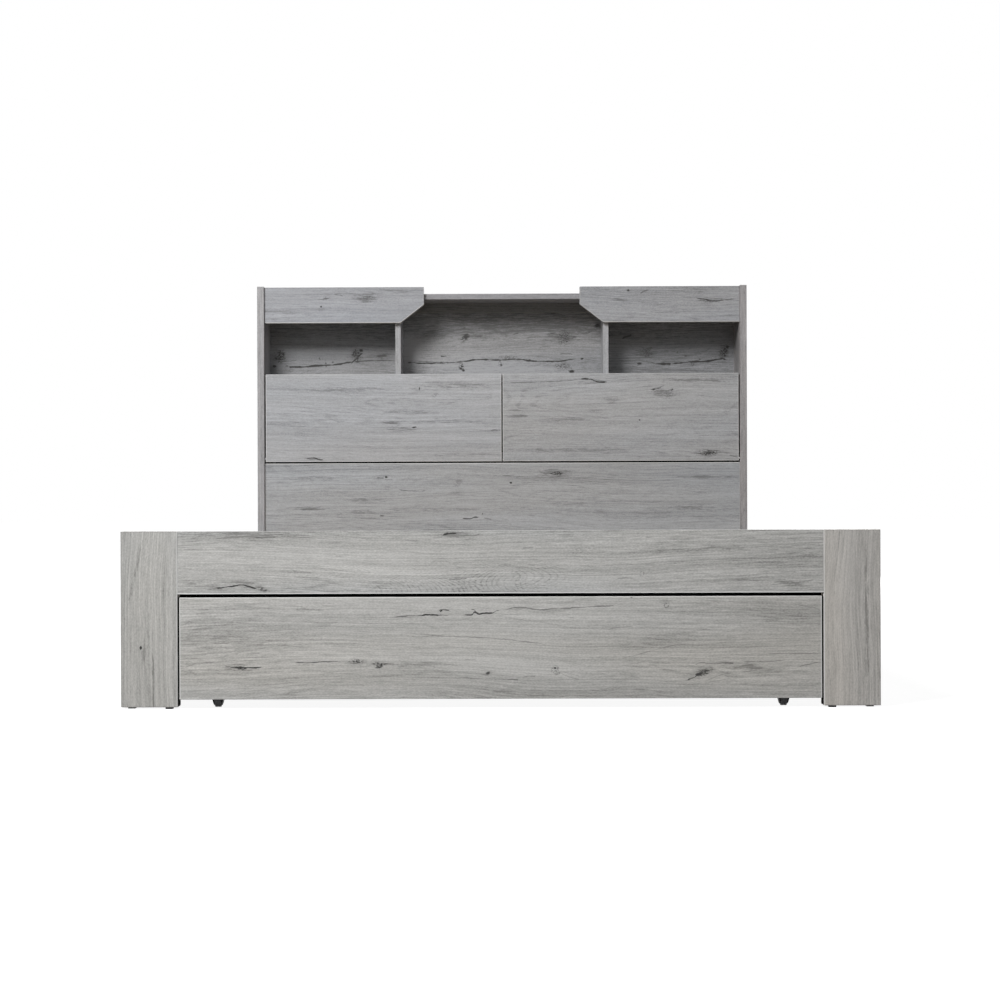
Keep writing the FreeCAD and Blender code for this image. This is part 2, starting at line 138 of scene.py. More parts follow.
# How the marks of the boards show, and how their edges wander
crack_widening = 1.45
course_room = 0.0001
mark_full = 0.9
streak_strength = 1.6
streak_fibre = (0.38, 0.62, 1.7, 0.3)
cluster_boost = 1.3
edge_line_width = 0.0027
ragged_noise = (45.0, 260.0, 3.0, 0.65)
ragged_reach = 1.7
drift_noise = (15.0, 5.0, 3.0, 0.6)
drift_reach = 0.010
quiver_noise = (70.0, 5.0, 3.0, 0.6)
quiver_reach = 0.0035
figure_quiver = 0.012
uneven_noise = (34.0, 9.0, 2.0, 0.6)
uneven_range = (0.35, 0.65, 0.35, 1.35)
speck_noise = (190.0, 330.0, 2.0, 0.6)
speck_range = (0.42, 0.53)
star_speck_range = (0.0, 1.0, 0.4, 1.0)

# The shapes of the marks and how they fade out, in parts of their own half sizes
blot_edge = (0.35, 1.10)
soft_edge = (0.0, 1.0)
push_fade = -0.45
push_strength = -0.75
ring_reach = 0.8
ring_ragged = 0.4
ring_edge = (0.05, 0.50)
star_turn_ragged = 0.75
star_end_ragged = 0.6
star_spoke_range = (-0.1, 0.8)
star_spoke_edge = (0.35, 1.0)
star_heart_edge = (0.10, 0.60)
star_heart = 0.8
arc_bow = 2.6
arc_edge = (0.25, 1.0)
arc_range = (0.2, 1.0)
crack_start = (0.0, 0.12)
crack_end = (0.86, 1.0)
crack_half = 0.35
crack_least = 0.00001
crack_edge = (1.3, 2.4)
line_edge = (0.5, 1.2)

# Screws, cams and staples
screw_radius = 0.0042
small_screw_radius = 0.0027
low_head = 0.0012
middle_head = 0.0015
high_head = 0.0018
cam_radius = 0.0075
cam_height = 0.0012
cam_stand = 0.0003
cam_rim = 0.0011
cam_step = 0.0004
cam_well = 0.0026
cam_slot_depth = 0.0006
staple_crown = 0.012
staple_width = 0.0012
staple_height = 0.0005
staple_stand = 0.0003
slat_count = 14
slat_half_width = 0.035

# Castor rollers, with a groove, a dished side and a hub
wheel_radius = 0.015
wheel_width = 0.013
wheel_bore = 0.00215
groove_half = 0.0009
groove_depth = 0.0005
wheel_rounding = 0.0014
wheel_rim = 0.0022
dish_slope = 0.0006
dish_depth = 0.0014
dish_width = 0.0050
hub_slope = 0.0004
hub_height = 0.0012

# The black strip over the drawer and the black tapes in the gaps: painted shade that makes the gaps read
# dark
strip_y = -1.1100
strip_thickness = 0.0016
strip_height = 0.004
strip_drop = 0.0018
strip_side_gap = 0.003
strip_lip = 0.010
drawer_shade_tape_width = 0.0020
drawer_shade_tape_run = (-1.1285, -1.1125)
drawer_shade_tape_foot = 0.0060
door_shade_tape_width = 0.0010
door_shade_tape_inset = 0.0010
door_shade_tape_back = 0.9780
door_shade_tape_z = (0.5820, 0.8400)
stop_shade_tape_x = (0.0200, 0.7400)
stop_shade_tape_y = (0.9822, 0.9840)
stop_shade_tape_top = 0.5612
gap_shade_tape_half = 0.7640
gap_shade_tape_height = 0.0008
gap_shade_tape_front_inset = 0.0006
gap_shade_tape_back_inset = 0.0005
partition_shade_tape_half = 0.0075
partition_shade_tape_thickness = 0.0005
partition_shade_tape_z = (0.5900, 0.8200)

# Planed softwood, the foil of the drawer's box and woven tape
pine_bend = (1.5, 6.0)
pine_bend_reach = 0.05
pine_field = (0.6, 14.0, 1.0, 0.4)
pine_ring_count = 150.0
pine_ring_range = (-0.6, 1.0)
pine_ring_strength = 0.42
pine_fibre = (30.0, 500.0, 3.0, 0.7)
pine_fibre_strength = 0.5
pine_bump = (0.2, 0.0003)
pine_roughness = 0.6
foil_streak = (6.0, 160.0, 3.0, 0.6)
foil_streak_strength = 0.9
foil_fibre = (30.0, 700.0, 2.0, 0.6)
foil_bump = (0.1, 0.0002)
foil_roughness = 0.58
twill_x = 3200.0
twill_y = 2400.0
twill_bump = (0.4, 0.0004)
twill_roughness = 0.9

# Plain finishes: colour, roughness, unevenness, fineness, metallic, relief, gloss
plain_relief_height = 0.0002
plain_patches = (14.0, 14.0)
plain_speck = (3.0, 0.6)
plain_roughness_swing = 0.06
plain_looks = {
    "zinc_steel": ((0.62, 0.63, 0.65), 0.36, 0.12, 500.0, 1.0, 0.05, 0.5),
    "blackened_steel": ((0.020, 0.020, 0.021), 0.55, 0.12, 700.0, 0.0, 0.05, 0.5),
    "black_plastic": ((0.012, 0.012, 0.013), 0.5, 0.15, 1500.0, 0.0, 0.1, 0.18),
    "wheel_plastic": ((0.10, 0.10, 0.104), 0.5, 0.15, 1500.0, 0.0, 0.1, 0.3),
    "white_plastic": ((0.70, 0.70, 0.68), 0.45, 0.08, 1500.0, 0.0, 0.1, 0.5),
    "buffer_rubber": ((0.03, 0.03, 0.03), 0.75, 0.15, 1500.0, 0.0, 0.1, 0.5),
    # The black of the strip and tapes that are painted shade in the gaps
    "shade_black_tape": ((0.008, 0.008, 0.008), 0.9, 0.15, 1500.0, 0.0, 0.1, 0.03),
}

# Pieces of softwood and of foil: direction of the grain and seed
pine_pieces = {
    "slats": ("XYZ", 30),
    "under_bed_cross_rail": ("XYZ", 31),
    "slat_ledge_left": ("YZX", 32),
    "slat_ledge_right": ("YZX", 33),
    "centre_beam": ("YZX", 34),
    "centre_legs": ("ZXY", 35),
}
foil_pieces = {
    "drawer_side_left": ("YZX", 40),
    "drawer_side_right": ("YZX", 41),
    "drawer_divider": ("YZX", 42),
    "drawer_back": ("XZY", 43),
    "drawer_bearers": ("YZX", 44),
    "drawer_floor_panels": ("YZX", 45),
    "drawer_corner_blocks": ("ZXY", 46),
}

# Pieces with a plain finish
castor_corners = ("front_left", "front_right", "back_left", "back_right")
plain_pieces = {
    "zinc_steel": ("corner_brackets", "cross_rail_brackets", "bed_bolts", "beam_hangers",
                   "flap_outer_pins", "flap_strike_left", "flap_strike_right", "castor_axles"),
    "blackened_steel": ("flap_centre_pivot",),
    "black_plastic": ("castor_housings", "centre_leg_feet", "magnet_catches", "headboard_glides",
                      "footboard_glides"),
    "wheel_plastic": tuple(f"castor_wheel_{corner}" for corner in castor_corners),
    "white_plastic": ("flap_bushes_left", "flap_bushes_right"),
    "buffer_rubber": ("drawer_buffers",),
}

# Where the fastenings sit, across the bed, along it and up
screw_sink = 0.0001
staple_sink = 0.00005
slat_screw_x = 0.7600
staple_x = 0.5080
cross_screw_z = (0.1150, 0.1500)
cross_screw_rail_x = 0.7505
cross_screw_rail_step = 0.0025
cross_screw_side_x = 0.7705
cross_screw_side_step = 0.0240
hanger_plate = 0.002
hanger_screw_x = 0.034
hanger_screw_z = (0.262, 0.287)
castor_screw_x = 0.018
castor_screw_y = 0.016
castor_screw_z = 0.037
block_screw_z = (0.085, 0.140)
block_screw_step = 0.009
block_screw_rise = 0.012
cam_x = 0.7390
panel_cam_z = (0.130, 0.300, 0.500)
stretcher_cam_z = 0.100
rail_cam_x = 0.6410
rail_cam_z = (0.285, 0.345)
floor_cam_y = (1.000, 1.080)

# Kinds of marks, in millimetres: where they are along and across, how long and high they are, how much
# they tilt, how strong they are. A crack has a width, a strength and the places that it runs through.
# Arcs with a length below zero open the other way.
mm = 0.001
Knot = namedtuple("Knot", "along across length height tilt depth")
Crack = namedtuple("Crack", "width depth course")
# A streak shades the print, or lightens it when its strength is below zero; a few broad ones are painted
# light and shade
Streak = namedtuple("Streak", "along across length height tilt depth")
Cluster = namedtuple("Cluster", "along across length height tilt depth")
Ring = namedtuple("Ring", "along across length height depth")
Star = namedtuple("Star", "along across length height spokes depth")
Figure = namedtuple("Figure", "along across length height rings depth")
# A rim is a pale line along a slanting edge, drawn as a painted highlight
Rim = namedtuple("Rim", "along across slope strength")


class Tree:
    """Adds nodes to one tree and joins them."""

    def __init__(self, tree):
        self.tree = tree

    def put(self, kind, inputs=(), **settings):
        """A new node: inputs are joined where they come from a node, and set where they are values."""
        made = self.tree.nodes.new(kind)
        for name, value in settings.items():
            setattr(made, name, value)
        for key, value in inputs:
            if isinstance(value, bpy.types.NodeSocket):
                self.tree.links.new(value, made.inputs[key])
            elif value is not None:
                made.inputs[key].default_value = value
        return made

    def join(self, source, target):
        self.tree.links.new(source, target)

    def sums(self, operation, *values, clamp=False):
        """One step of arithmetic."""
        made = self.put("ShaderNodeMath", enumerate(values), operation=operation, use_clamp=clamp)
        return made.outputs[0]

    def vectors(self, operation, *values):
        return self.put("ShaderNodeVectorMath", enumerate(values), operation=operation).outputs[0]

    def parts(self, vector):
        made = self.put("ShaderNodeSeparateXYZ", [(0, vector)])
        return {letter: made.outputs[letter] for letter in "XYZ"}

    def whole(self, x, y, z):
        return self.put("ShaderNodeCombineXYZ", [(0, x), (1, y), (2, z)]).outputs[0]

    def noise(self, place, along, across, detail=2.0, roughness=0.5):
        """Noise with so many repeats per metre along the grain and across it."""
        scaled = self.vectors("MULTIPLY", place, (along, across, across))
        inputs = [("Vector", scaled), ("Scale", 1.0), ("Detail", detail), ("Roughness", roughness)]
        return self.put("ShaderNodeTexNoise", inputs).outputs[0]

    def swing(self, place, *look):
        """The same noise, swinging about zero."""
        return self.sums("SUBTRACT", self.noise(place, *look), 0.5)

    def step(self, value, low, high, out_low=0.0, out_high=1.0):
        """From one value to another with soft ends."""
        inputs = [(0, value), (1, low), (2, high), (3, out_low), (4, out_high)]
        made = self.put("ShaderNodeMapRange", inputs, interpolation_type="SMOOTHSTEP", clamp=False)
        return made.outputs[0]

    def fall(self, value, low, high, top=1.0):
        """From the top down to nothing with soft ends."""
        return self.step(value, low, high, top, 0.0)

    def spread(self, value, low, high, out_low=0.0, out_high=1.0, clamp=True):
        """From one value to another in a straight line."""
        inputs = [(0, value), (1, low), (2, high), (3, out_low), (4, out_high)]
        return self.put("ShaderNodeMapRange", inputs, clamp=clamp).outputs[0]

    def course(self, share, heights):
        """Follows a drawn course: heights from 0 to 1 at places from 0 to 1."""
        made = self.put("ShaderNodeFloatCurve", [("Value", share)])
        points = made.mapping.curves[0].points
        points[0].location = heights[0]
        points[1].location = heights[-1]
        for place, height in heights[1:-1]:
            points.new(place, height)
        made.mapping.update()
        return made.outputs[0]

    def blend(self, share, first, second, kind="MIX"):
        made = self.put("ShaderNodeMix", data_type="RGBA", blend_type=kind)
        colours = [i for i in made.inputs if i.type == "RGBA"]
        for socket, value in ((made.inputs[0], share), (colours[0], first), (colours[1], second)):
            if isinstance(value, bpy.types.NodeSocket):
                self.join(value, socket)
            elif isinstance(value, tuple):
                socket.default_value = (*value, 1.0)
            else:
                socket.default_value = value
        return [o for o in made.outputs if o.type == "RGBA"][0]

    def use(self, group, **inputs):
        made = self.tree.nodes.new("ShaderNodeGroup")
        made.node_tree = group
        for name, value in inputs.items():
            socket = made.inputs[name]
            if isinstance(value, bpy.types.NodeSocket):
                self.join(value, socket)
            else:
                socket.default_value = value
        return made.outputs


def new_group(name, inputs, outputs):
    """A shader node group: its tree, the ends of its inputs and the ends of its outputs."""
    group = bpy.data.node_groups.new(name, "ShaderNodeTree")
    for label in outputs:
        group.interface.new_socket(label, in_out="OUTPUT", socket_type="NodeSocketFloat")
    for label in inputs:
        kind = "NodeSocketVector" if label == "Place" else "NodeSocketFloat"
        group.interface.new_socket(label, in_out="INPUT", socket_type=kind)
    given = group.nodes.new("NodeGroupInput").outputs
    result = group.nodes.new("NodeGroupOutput").inputs
    return Tree(group), given, result


def growth_lines(t, place, bent, thread):
    """Fine growth lines that come and go in patches and break up along the threads."""
    wave = t.sums("SINE", t.sums("MULTIPLY", t.noise(bent, *growth_field), growth_count))
    patches = t.step(t.noise(place, *growth_patches), *growth_patch_range)
    lines = t.sums("MULTIPLY", t.step(wave, *growth_edges), patches)
    return t.sums("MULTIPLY", lines, t.spread(thread, *growth_breaks))


def hair_lines(t, place, bent):
    """Hair-thin lines where a slow noise crosses its middle."""
    near = t.sums("ABSOLUTE", t.swing(bent, *hair_field))
    runs = t.step(t.noise(place, *hair_patches), *hair_patch_range)
    return t.sums("MULTIPLY", t.fall(near, *hair_edges), runs)


def make_oak_print():
    """Washed oak: clouds, streaks, threads, growth lines and pores along the first axis of Place."""
    t, given, result = new_group("oak_print", ["Place"], ["Tone", "Pores", "Relief", "Thread"])
    place = given["Place"]
    bend = t.sums("MULTIPLY_ADD", t.swing(place, *slow_bend), slow_bend_reach,
                  t.sums("MULTIPLY", t.swing(place, *quick_bend), quick_bend_reach))
    bent = t.vectors("ADD", place, t.whole(0.0, bend, 0.0))
    layers = {name: t.noise(bent, *look[:4]) for name, look in oak_layers.items()}
    thread = layers["thread"]
    tone = 0.0
    for name, layer in layers.items():
        tone = t.sums("MULTIPLY_ADD", t.sums("SUBTRACT", layer, 0.5), oak_layers[name][4], tone)
    tone = t.sums("MULTIPLY_ADD", growth_lines(t, place, bent, thread), growth_strength, tone)
    tone = t.sums("MULTIPLY_ADD", hair_lines(t, place, bent), hair_strength, tone)
    t.join(t.sums("ADD", tone, print_lift), result["Tone"])
    t.join(thread, result["Thread"])

    dashes = t.step(t.noise(bent, *pore_dashes), *pore_dash_range)
    gathers = t.step(t.noise(bent, *pore_patches), *pore_patch_range)
    pores = t.sums("MULTIPLY", dashes, gathers)
    t.join(pores, result["Pores"])
    t.join(t.sums("MULTIPLY_ADD", pores, pore_depth, thread), result["Relief"])
    return t.tree


def in_halves(t, at, given):
    """How far a place is from the middle of an oval, along and across, in the oval's half sizes."""
    return [t.sums("DIVIDE", t.sums("SUBTRACT", at[letter], given[middle]), given[half])
            for letter, middle, half in (("X", "Along", "Length"), ("Y", "Across", "Height"))]


def make_blot():
    """An oval patch: a ragged mask, a softer one, a ring, and a push that moves the grain aside."""
    labels = ["Place", "Along", "Across", "Length", "Height", "Tilt", "Ragged"]
    t, given, result = new_group("blot", labels, ["Mask", "Soft", "Push", "Ring"])
    at = t.parts(given["Place"])
    along = t.sums("SUBTRACT", at["X"], given["Along"])
    lean = t.sums("MULTIPLY", along, given["Tilt"])
    across = t.sums("SUBTRACT", t.sums("SUBTRACT", at["Y"], given["Across"]), lean)
    u = t.sums("DIVIDE", along, given["Length"])
    v = t.sums("DIVIDE", across, given["Height"])
    squares = t.sums("MULTIPLY_ADD", u, u, t.sums("MULTIPLY", v, v))
    reach = t.sums("SQRT", squares)
    ragged = t.sums("ADD", reach, given["Ragged"])
    t.join(t.fall(ragged, *blot_edge), result["Mask"])
    t.join(t.fall(ragged, *soft_edge), result["Soft"])
    fade = t.sums("EXPONENT", t.sums("MULTIPLY", squares, push_fade))
    push = t.sums("MULTIPLY", t.sums("MULTIPLY", across, fade), push_strength)
    t.join(push, result["Push"])
    uneven_reach = t.sums("MULTIPLY_ADD", given["Ragged"], ring_ragged, reach)
    from_edge = t.sums("ABSOLUTE", t.sums("SUBTRACT", uneven_reach, ring_reach))
    t.join(t.fall(from_edge, *ring_edge), result["Ring"])
    return t.tree


def make_star():
    """A knot with checks that run out from its heart like spokes."""
    labels = ["Place", "Along", "Across", "Length", "Height", "Spokes", "Ragged"]
    t, given, result = new_group("star", labels, ["Mask"])
    u, v = in_halves(t, t.parts(given["Place"]), given)
    reach = t.sums("SQRT", t.sums("MULTIPLY_ADD", u, u, t.sums("MULTIPLY", v, v)))
    turn = t.sums("ADD", t.sums("ARCTAN2", v, u), t.sums("MULTIPLY", given["Ragged"], star_turn_ragged))
    wave = t.sums("SINE", t.sums("MULTIPLY", turn, given["Spokes"]))
    end = t.sums("MULTIPLY_ADD", given["Ragged"], star_end_ragged, reach)
    spokes = t.sums("MULTIPLY", t.step(wave, *star_spoke_range), t.fall(end, *star_spoke_edge))
    heart = t.fall(end, *star_heart_edge, top=star_heart)
    t.join(t.sums("MAXIMUM", spokes, heart), result["Mask"])
    return t.tree


def make_cathedral():
    """Nested arcs of growth rings that open along the grain, fading out at an oval's edge."""
    labels = ["Place", "Along", "Across", "Length", "Height", "Rings", "Wander"]
    t, given, result = new_group("cathedral", labels, ["Lines"])
    u, v = in_halves(t, t.parts(given["Place"]), given)
    squares = t.sums("MULTIPLY", v, v)
    arcs = t.sums("SUBTRACT", u, t.sums("MULTIPLY", squares, arc_bow))
    arcs = t.sums("ADD", arcs, t.sums("DIVIDE", given["Wander"], given["Length"]))
    wave = t.sums("SINE", t.sums("MULTIPLY", t.sums("MULTIPLY", arcs, given["Rings"]), math.pi))
    inside = t.fall(t.sums("MULTIPLY_ADD", u, u, squares), *arc_edge)
    t.join(t.sums("MULTIPLY", t.step(wave, *arc_range), inside), result["Lines"])
    return t.tree


def make_crack():
    """A thin open line from one place along the grain to another, at height Middle, uneven in width."""
    labels = ["Place", "Start", "End", "Middle", "Width", "Wander", "Uneven"]
    t, given, result = new_group("crack", labels, ["Mask"])
    at = t.parts(given["Place"])
    run = t.sums("SUBTRACT", at["X"], given["Start"])
    share = t.sums("DIVIDE", run, t.sums("SUBTRACT", given["End"], given["Start"]))
    middle = t.sums("ADD", given["Middle"], given["Wander"])
    away = t.sums("ABSOLUTE", t.sums("SUBTRACT", at["Y"], middle))
    ends = t.sums("MULTIPLY", t.step(share, *crack_start), t.fall(share, *crack_end))
    width = t.sums("MULTIPLY", t.sums("MULTIPLY", given["Width"], given["Uneven"]), ends)
    edge = t.sums("MULTIPLY_ADD", width, crack_half, crack_least)
    mask = t.fall(t.sums("DIVIDE", away, edge), *crack_edge)
    inside = t.sums("MULTIPLY", t.sums("GREATER_THAN", share, 0.0), t.sums("LESS_THAN", share, 1.0))
    t.join(t.sums("MULTIPLY", mask, inside), result["Mask"])
    return t.tree


def make_rim():
    """A thin line along a slanting edge, through one place with a given slope."""
    labels = ["Place", "Along", "Across", "Slope", "Width"]
    t, given, result = new_group("rim", labels, ["Line"])
    at = t.parts(given["Place"])
    run = t.sums("SUBTRACT", at["X"], given["Along"])
    height = t.sums("SUBTRACT", at["Y"], given["Across"])
    rise = t.sums("SUBTRACT", height, t.sums("MULTIPLY", run, given["Slope"]))
    length = t.sums("SQRT", t.sums("MULTIPLY_ADD", given["Slope"], given["Slope"], 1.0))
    away = t.sums("DIVIDE", t.sums("ABSOLUTE", t.sums("DIVIDE", rise, length)), given["Width"])
    t.join(t.fall(away, *line_edge), result["Line"])
    return t.tree


def make_edge_line():
    """Thin lines along the four edges of a board's face, for painted highlights and painted shade along its
    edges.
    """
    labels = ["Place", "Left", "Right", "Bottom", "Top", "Width"]
    t, given, result = new_group("edge_line", labels, ["Left Line", "Right Line", "Bottom Line", "Top Line"])
    at = t.parts(given["Place"])
    for name, letter, far in (("Left", "X", False), ("Right", "X", True),
                              ("Bottom", "Z", False), ("Top", "Z", True)):
        first, second = (given[name], at[letter]) if far else (at[letter], given[name])
        inwards = t.sums("DIVIDE", t.sums("SUBTRACT", first, second), given["Width"])
        t.join(t.fall(inwards, *line_edge), result[f"{name} Line"])
    return t.tree


oak_print = make_oak_print()
blot = make_blot()
star = make_star()
cathedral = make_cathedral()
crack_line = make_crack()
rim = make_rim()
edge_line = make_edge_line()


def new_material(name):
    """A material, its tree of nodes and its surface shader."""
    material = bpy.data.materials.new(name)
    material.use_nodes = True
    t = Tree(material.node_tree)
    shader = next(n for n in material.node_tree.nodes if n.type == "BSDF_PRINCIPLED")
    return material, t, shader


def raise_surface(t, shader, height, strength, distance):
    """Lets a height stand out of the surface a little."""
    bump = t.put("ShaderNodeBump", [("Strength", strength), ("Distance", distance), ("Height", height)])
    t.join(bump.outputs[0], shader.inputs["Normal"])


def grain_place(t, order, seed):
    """The board's own coordinates: as they are, as along the grain, across it and through, and moved.

    On the ends of a board, where the grain would meet the surface, it turns to run along the edge.
    """
    coordinates = t.put("ShaderNodeTexCoord").outputs
    at = t.parts(coordinates["Object"])
    facing = t.parts(coordinates["Normal"])
    along, across, through = (at[letter] for letter in order)
    end = t.sums("GREATER_THAN", t.sums("ABSOLUTE", facing[order[0]]), end_facing)
    flat = t.whole(along, across, through)
    turned = t.whole(across, through, along)
    mixed = t.put("ShaderNodeMix", data_type="VECTOR")
    first, second = [i for i in mixed.inputs if i.type == "VECTOR"][-2:]
    t.join(end, mixed.inputs[0])
    t.join(flat, first)
    t.join(turned, second)
    place = [o for o in mixed.outputs if o.type == "VECTOR"][0]
    moved = t.vectors("ADD", place, tuple(seed * shift for shift in seed_shift))
    return coordinates["Object"], flat, moved


def add_crack(t, flat, mark, edge):
    """A crack along its drawn course: one curve gives its height at each place along the grain."""
    course = [(place * mm, height * mm) for place, height in mark.course]
    start, end = course[0][0], course[-1][0]
    heights = [height for place, height in course]
    low, high = min(heights), max(heights) + course_room
    share = t.spread(t.parts(flat)["X"], start, end, clamp=False)
    run, rise = end - start, high - low
    drawn = [((place - start) / run, (height - low) / rise) for place, height in course]
    middle = t.spread(t.course(share, drawn), 0.0, 1.0, low, high, clamp=False)
    return t.use(crack_line, Place=flat, Start=start, End=end, Middle=middle,
                 Width=mark.width * mm * crack_widening, Wander=edge["wiggle"],
                 Uneven=edge["uneven"])["Mask"]


def mark_edges(t, moved):
    """The noises that make the marks ragged, wandering, uneven in width and speckled."""
    quiver = t.swing(moved, *quiver_noise)
    return {
        "ragged": t.sums("MULTIPLY", t.swing(moved, *ragged_noise), ragged_reach),
        "drift": t.sums("MULTIPLY", t.swing(moved, *drift_noise), drift_reach),
        "quiver": quiver,
        "wiggle": t.sums("MULTIPLY", quiver, quiver_reach),
        "uneven": t.spread(t.noise(moved, *uneven_noise), *uneven_range),
        "specks": t.step(t.noise(moved, *speck_noise), *speck_range),
    }


def mark_parts(t, flat, mark, edge):
    """What one mark gives: values, each with the name of the running total that it joins."""
    if isinstance(mark, Crack):
        return [("dark", t.sums("MULTIPLY", add_crack(t, flat, mark, edge), mark.depth))]
    spot = {"Place": flat, "Along": mark.along * mm, "Across": mark.across * mm}
    # A rim: painted highlight along a slanting edge
    if isinstance(mark, Rim):
        line = t.use(rim, Slope=mark.slope, Width=edge_line_width, **spot)["Line"]
        return [("rim", t.sums("MULTIPLY", line, mark.strength))]
    oval = dict(spot, Length=mark.length * mm, Height=mark.height * mm)
    if isinstance(mark, Figure):
        stray = t.sums("MULTIPLY_ADD", edge["quiver"], figure_quiver, edge["drift"])
        arcs = t.use(cathedral, Rings=mark.rings, Wander=stray, **oval)["Lines"]
        return [("shade", t.sums("MULTIPLY", t.sums("MULTIPLY", arcs, edge["uneven"]), -mark.depth))]
    if isinstance(mark, Star):
        spokes = t.use(star, Spokes=mark.spokes, Ragged=edge["ragged"], **oval)["Mask"]
        speckled = t.sums("MULTIPLY", spokes, t.spread(edge["specks"], *star_speck_range))
        return [("dark", t.sums("MULTIPLY", speckled, mark.depth))]
    made = t.use(blot, Tilt=getattr(mark, "tilt", 0.0), Ragged=edge["ragged"], **oval)
    if isinstance(mark, Streak):
        return [("shade", t.sums("MULTIPLY", made["Soft"], -mark.depth * streak_strength))]
    if isinstance(mark, Ring):
        speckled = t.sums("MULTIPLY", made["Ring"], edge["specks"])
        return [("dark", t.sums("MULTIPLY", speckled, mark.depth))]
    if isinstance(mark, Cluster):
        speckled = t.sums("MULTIPLY", made["Mask"], edge["specks"])
        return [("dark", t.sums("MULTIPLY", speckled, min(1.0, mark.depth * cluster_boost)))]
    return [("dark", t.sums("MULTIPLY", made["Mask"], mark.depth)), ("push", made["Push"])]


def add_marks(t, flat, moved, marks):
    """The board's marks together: dark for cracks and knots, shade, rims as painted highlights, and push for
    the grain.

    Each mark is joined to the running total as soon as it is made, and nothing in it is clamped by a
    node of its own, which keeps the shader small.
    """
    merging = {"dark": "MAXIMUM", "rim": "MAXIMUM", "shade": "ADD", "push": "ADD"}
    edge = mark_edges(t, moved)
    totals = dict.fromkeys(merging)
    for mark in marks:
        for kind, value in mark_parts(t, flat, mark, edge):
            so_far = totals[kind]
            totals[kind] = value if so_far is None else t.sums(merging[kind], so_far, value)
    return totals


def edge_highlight_and_shade_lines(t, name, at, lines, tone, rims):
    """Lines along the board's edges: those below zero darken the print as painted shade, the others are
    pale, partly edging and partly painted highlight.
    """
    low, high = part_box(name)
    edges = t.use(edge_line, Place=at, Left=low.x, Right=high.x, Bottom=low.z, Top=high.z,
                  Width=edge_line_width)
    for side, strength in zip(("Left", "Right", "Bottom", "Top"), lines):
        line = edges[f"{side} Line"]
        if strength < 0:
            tone = t.sums("MULTIPLY_ADD", line, strength, tone)
        elif strength > 0:
            line = t.sums("MULTIPLY", line, strength)
            rims = line if rims is None else t.sums("MAXIMUM", rims, line)
    return tone, rims


def board_tint(t, moved, level, hue, rose):
    """The board's lightness and tint, in part painted light and shade, drifting slowly between warmer and
    cooler.
    """
    own = (1.0 + red_per_hue * hue, 1.0 - green_per_rose * rose, 1.0 - blue_per_hue * hue)
    warm = tuple(level * (c + more) for c, more in zip(own, warm_tint))
    cool = tuple(level * (c + more) for c, more in zip(own, cool_tint))
    return t.blend(t.step(t.noise(moved, *tint_patches), *tint_range), warm, cool)


def oak(name, order, seed, marks, lines, level, hue, rose, contrast):
    """Washed-oak print for one board, with its own knots, cracks and streaks, and lines along its edges that
    are painted highlight and shade, partly edging.
    """
    material, t, shader = new_material(name)
    at, flat, moved = grain_place(t, order, seed)
    relief = t.use(oak_print, Place=moved)["Relief"]
    total = add_marks(t, flat, moved, marks)
    if total["push"] is not None:
        moved = t.vectors("ADD", moved, t.whole(0.0, total["push"], 0.0))
    grain = t.use(oak_print, Place=moved)
    tone = t.sums("MULTIPLY_ADD", grain["Tone"], contrast, 0.5)
    if total["shade"] is not None:
        fibrous = t.spread(grain["Thread"], *streak_fibre)
        tone = t.sums("ADD", tone, t.sums("MULTIPLY", total["shade"], fibrous))
    # Rims and pale edge lines are painted highlights, partly edging; edge lines below zero are painted shade
    rims = total["rim"]
    if any(lines):
        tone, rims = edge_highlight_and_shade_lines(t, name, at, lines, tone, rims)
    colour = t.blend(t.sums("ADD", tone, 0.0, clamp=True), oak_dark, oak_light)
    colour = t.blend(1.0, colour, board_tint(t, moved, level, hue, rose), "MULTIPLY")
    colour = t.blend(t.sums("MULTIPLY", grain["Pores"], pore_strength), colour, knot_colour)
    # Painted highlight: the pale edge colour laid along the rims and edge lines
    if rims is not None:
        colour = t.blend(rims, colour, tuple(level * c for c in edging_and_highlight_colour))
    if total["dark"] is not None:
        deep = t.step(total["dark"], 0.0, mark_full)
        colour = t.blend(deep, colour, t.blend(deep, knot_colour, crack_colour))
    t.join(colour, shader.inputs["Base Color"])
    raise_surface(t, shader, relief, *oak_bump)
    t.join(t.spread(relief, *oak_roughness), shader.inputs["Roughness"])
    return material


def finish_node(name, material):
    """Gives a carried-over piece its material."""
    mesh = cad[name].data
    mesh.materials.clear()
    mesh.materials.append(material)


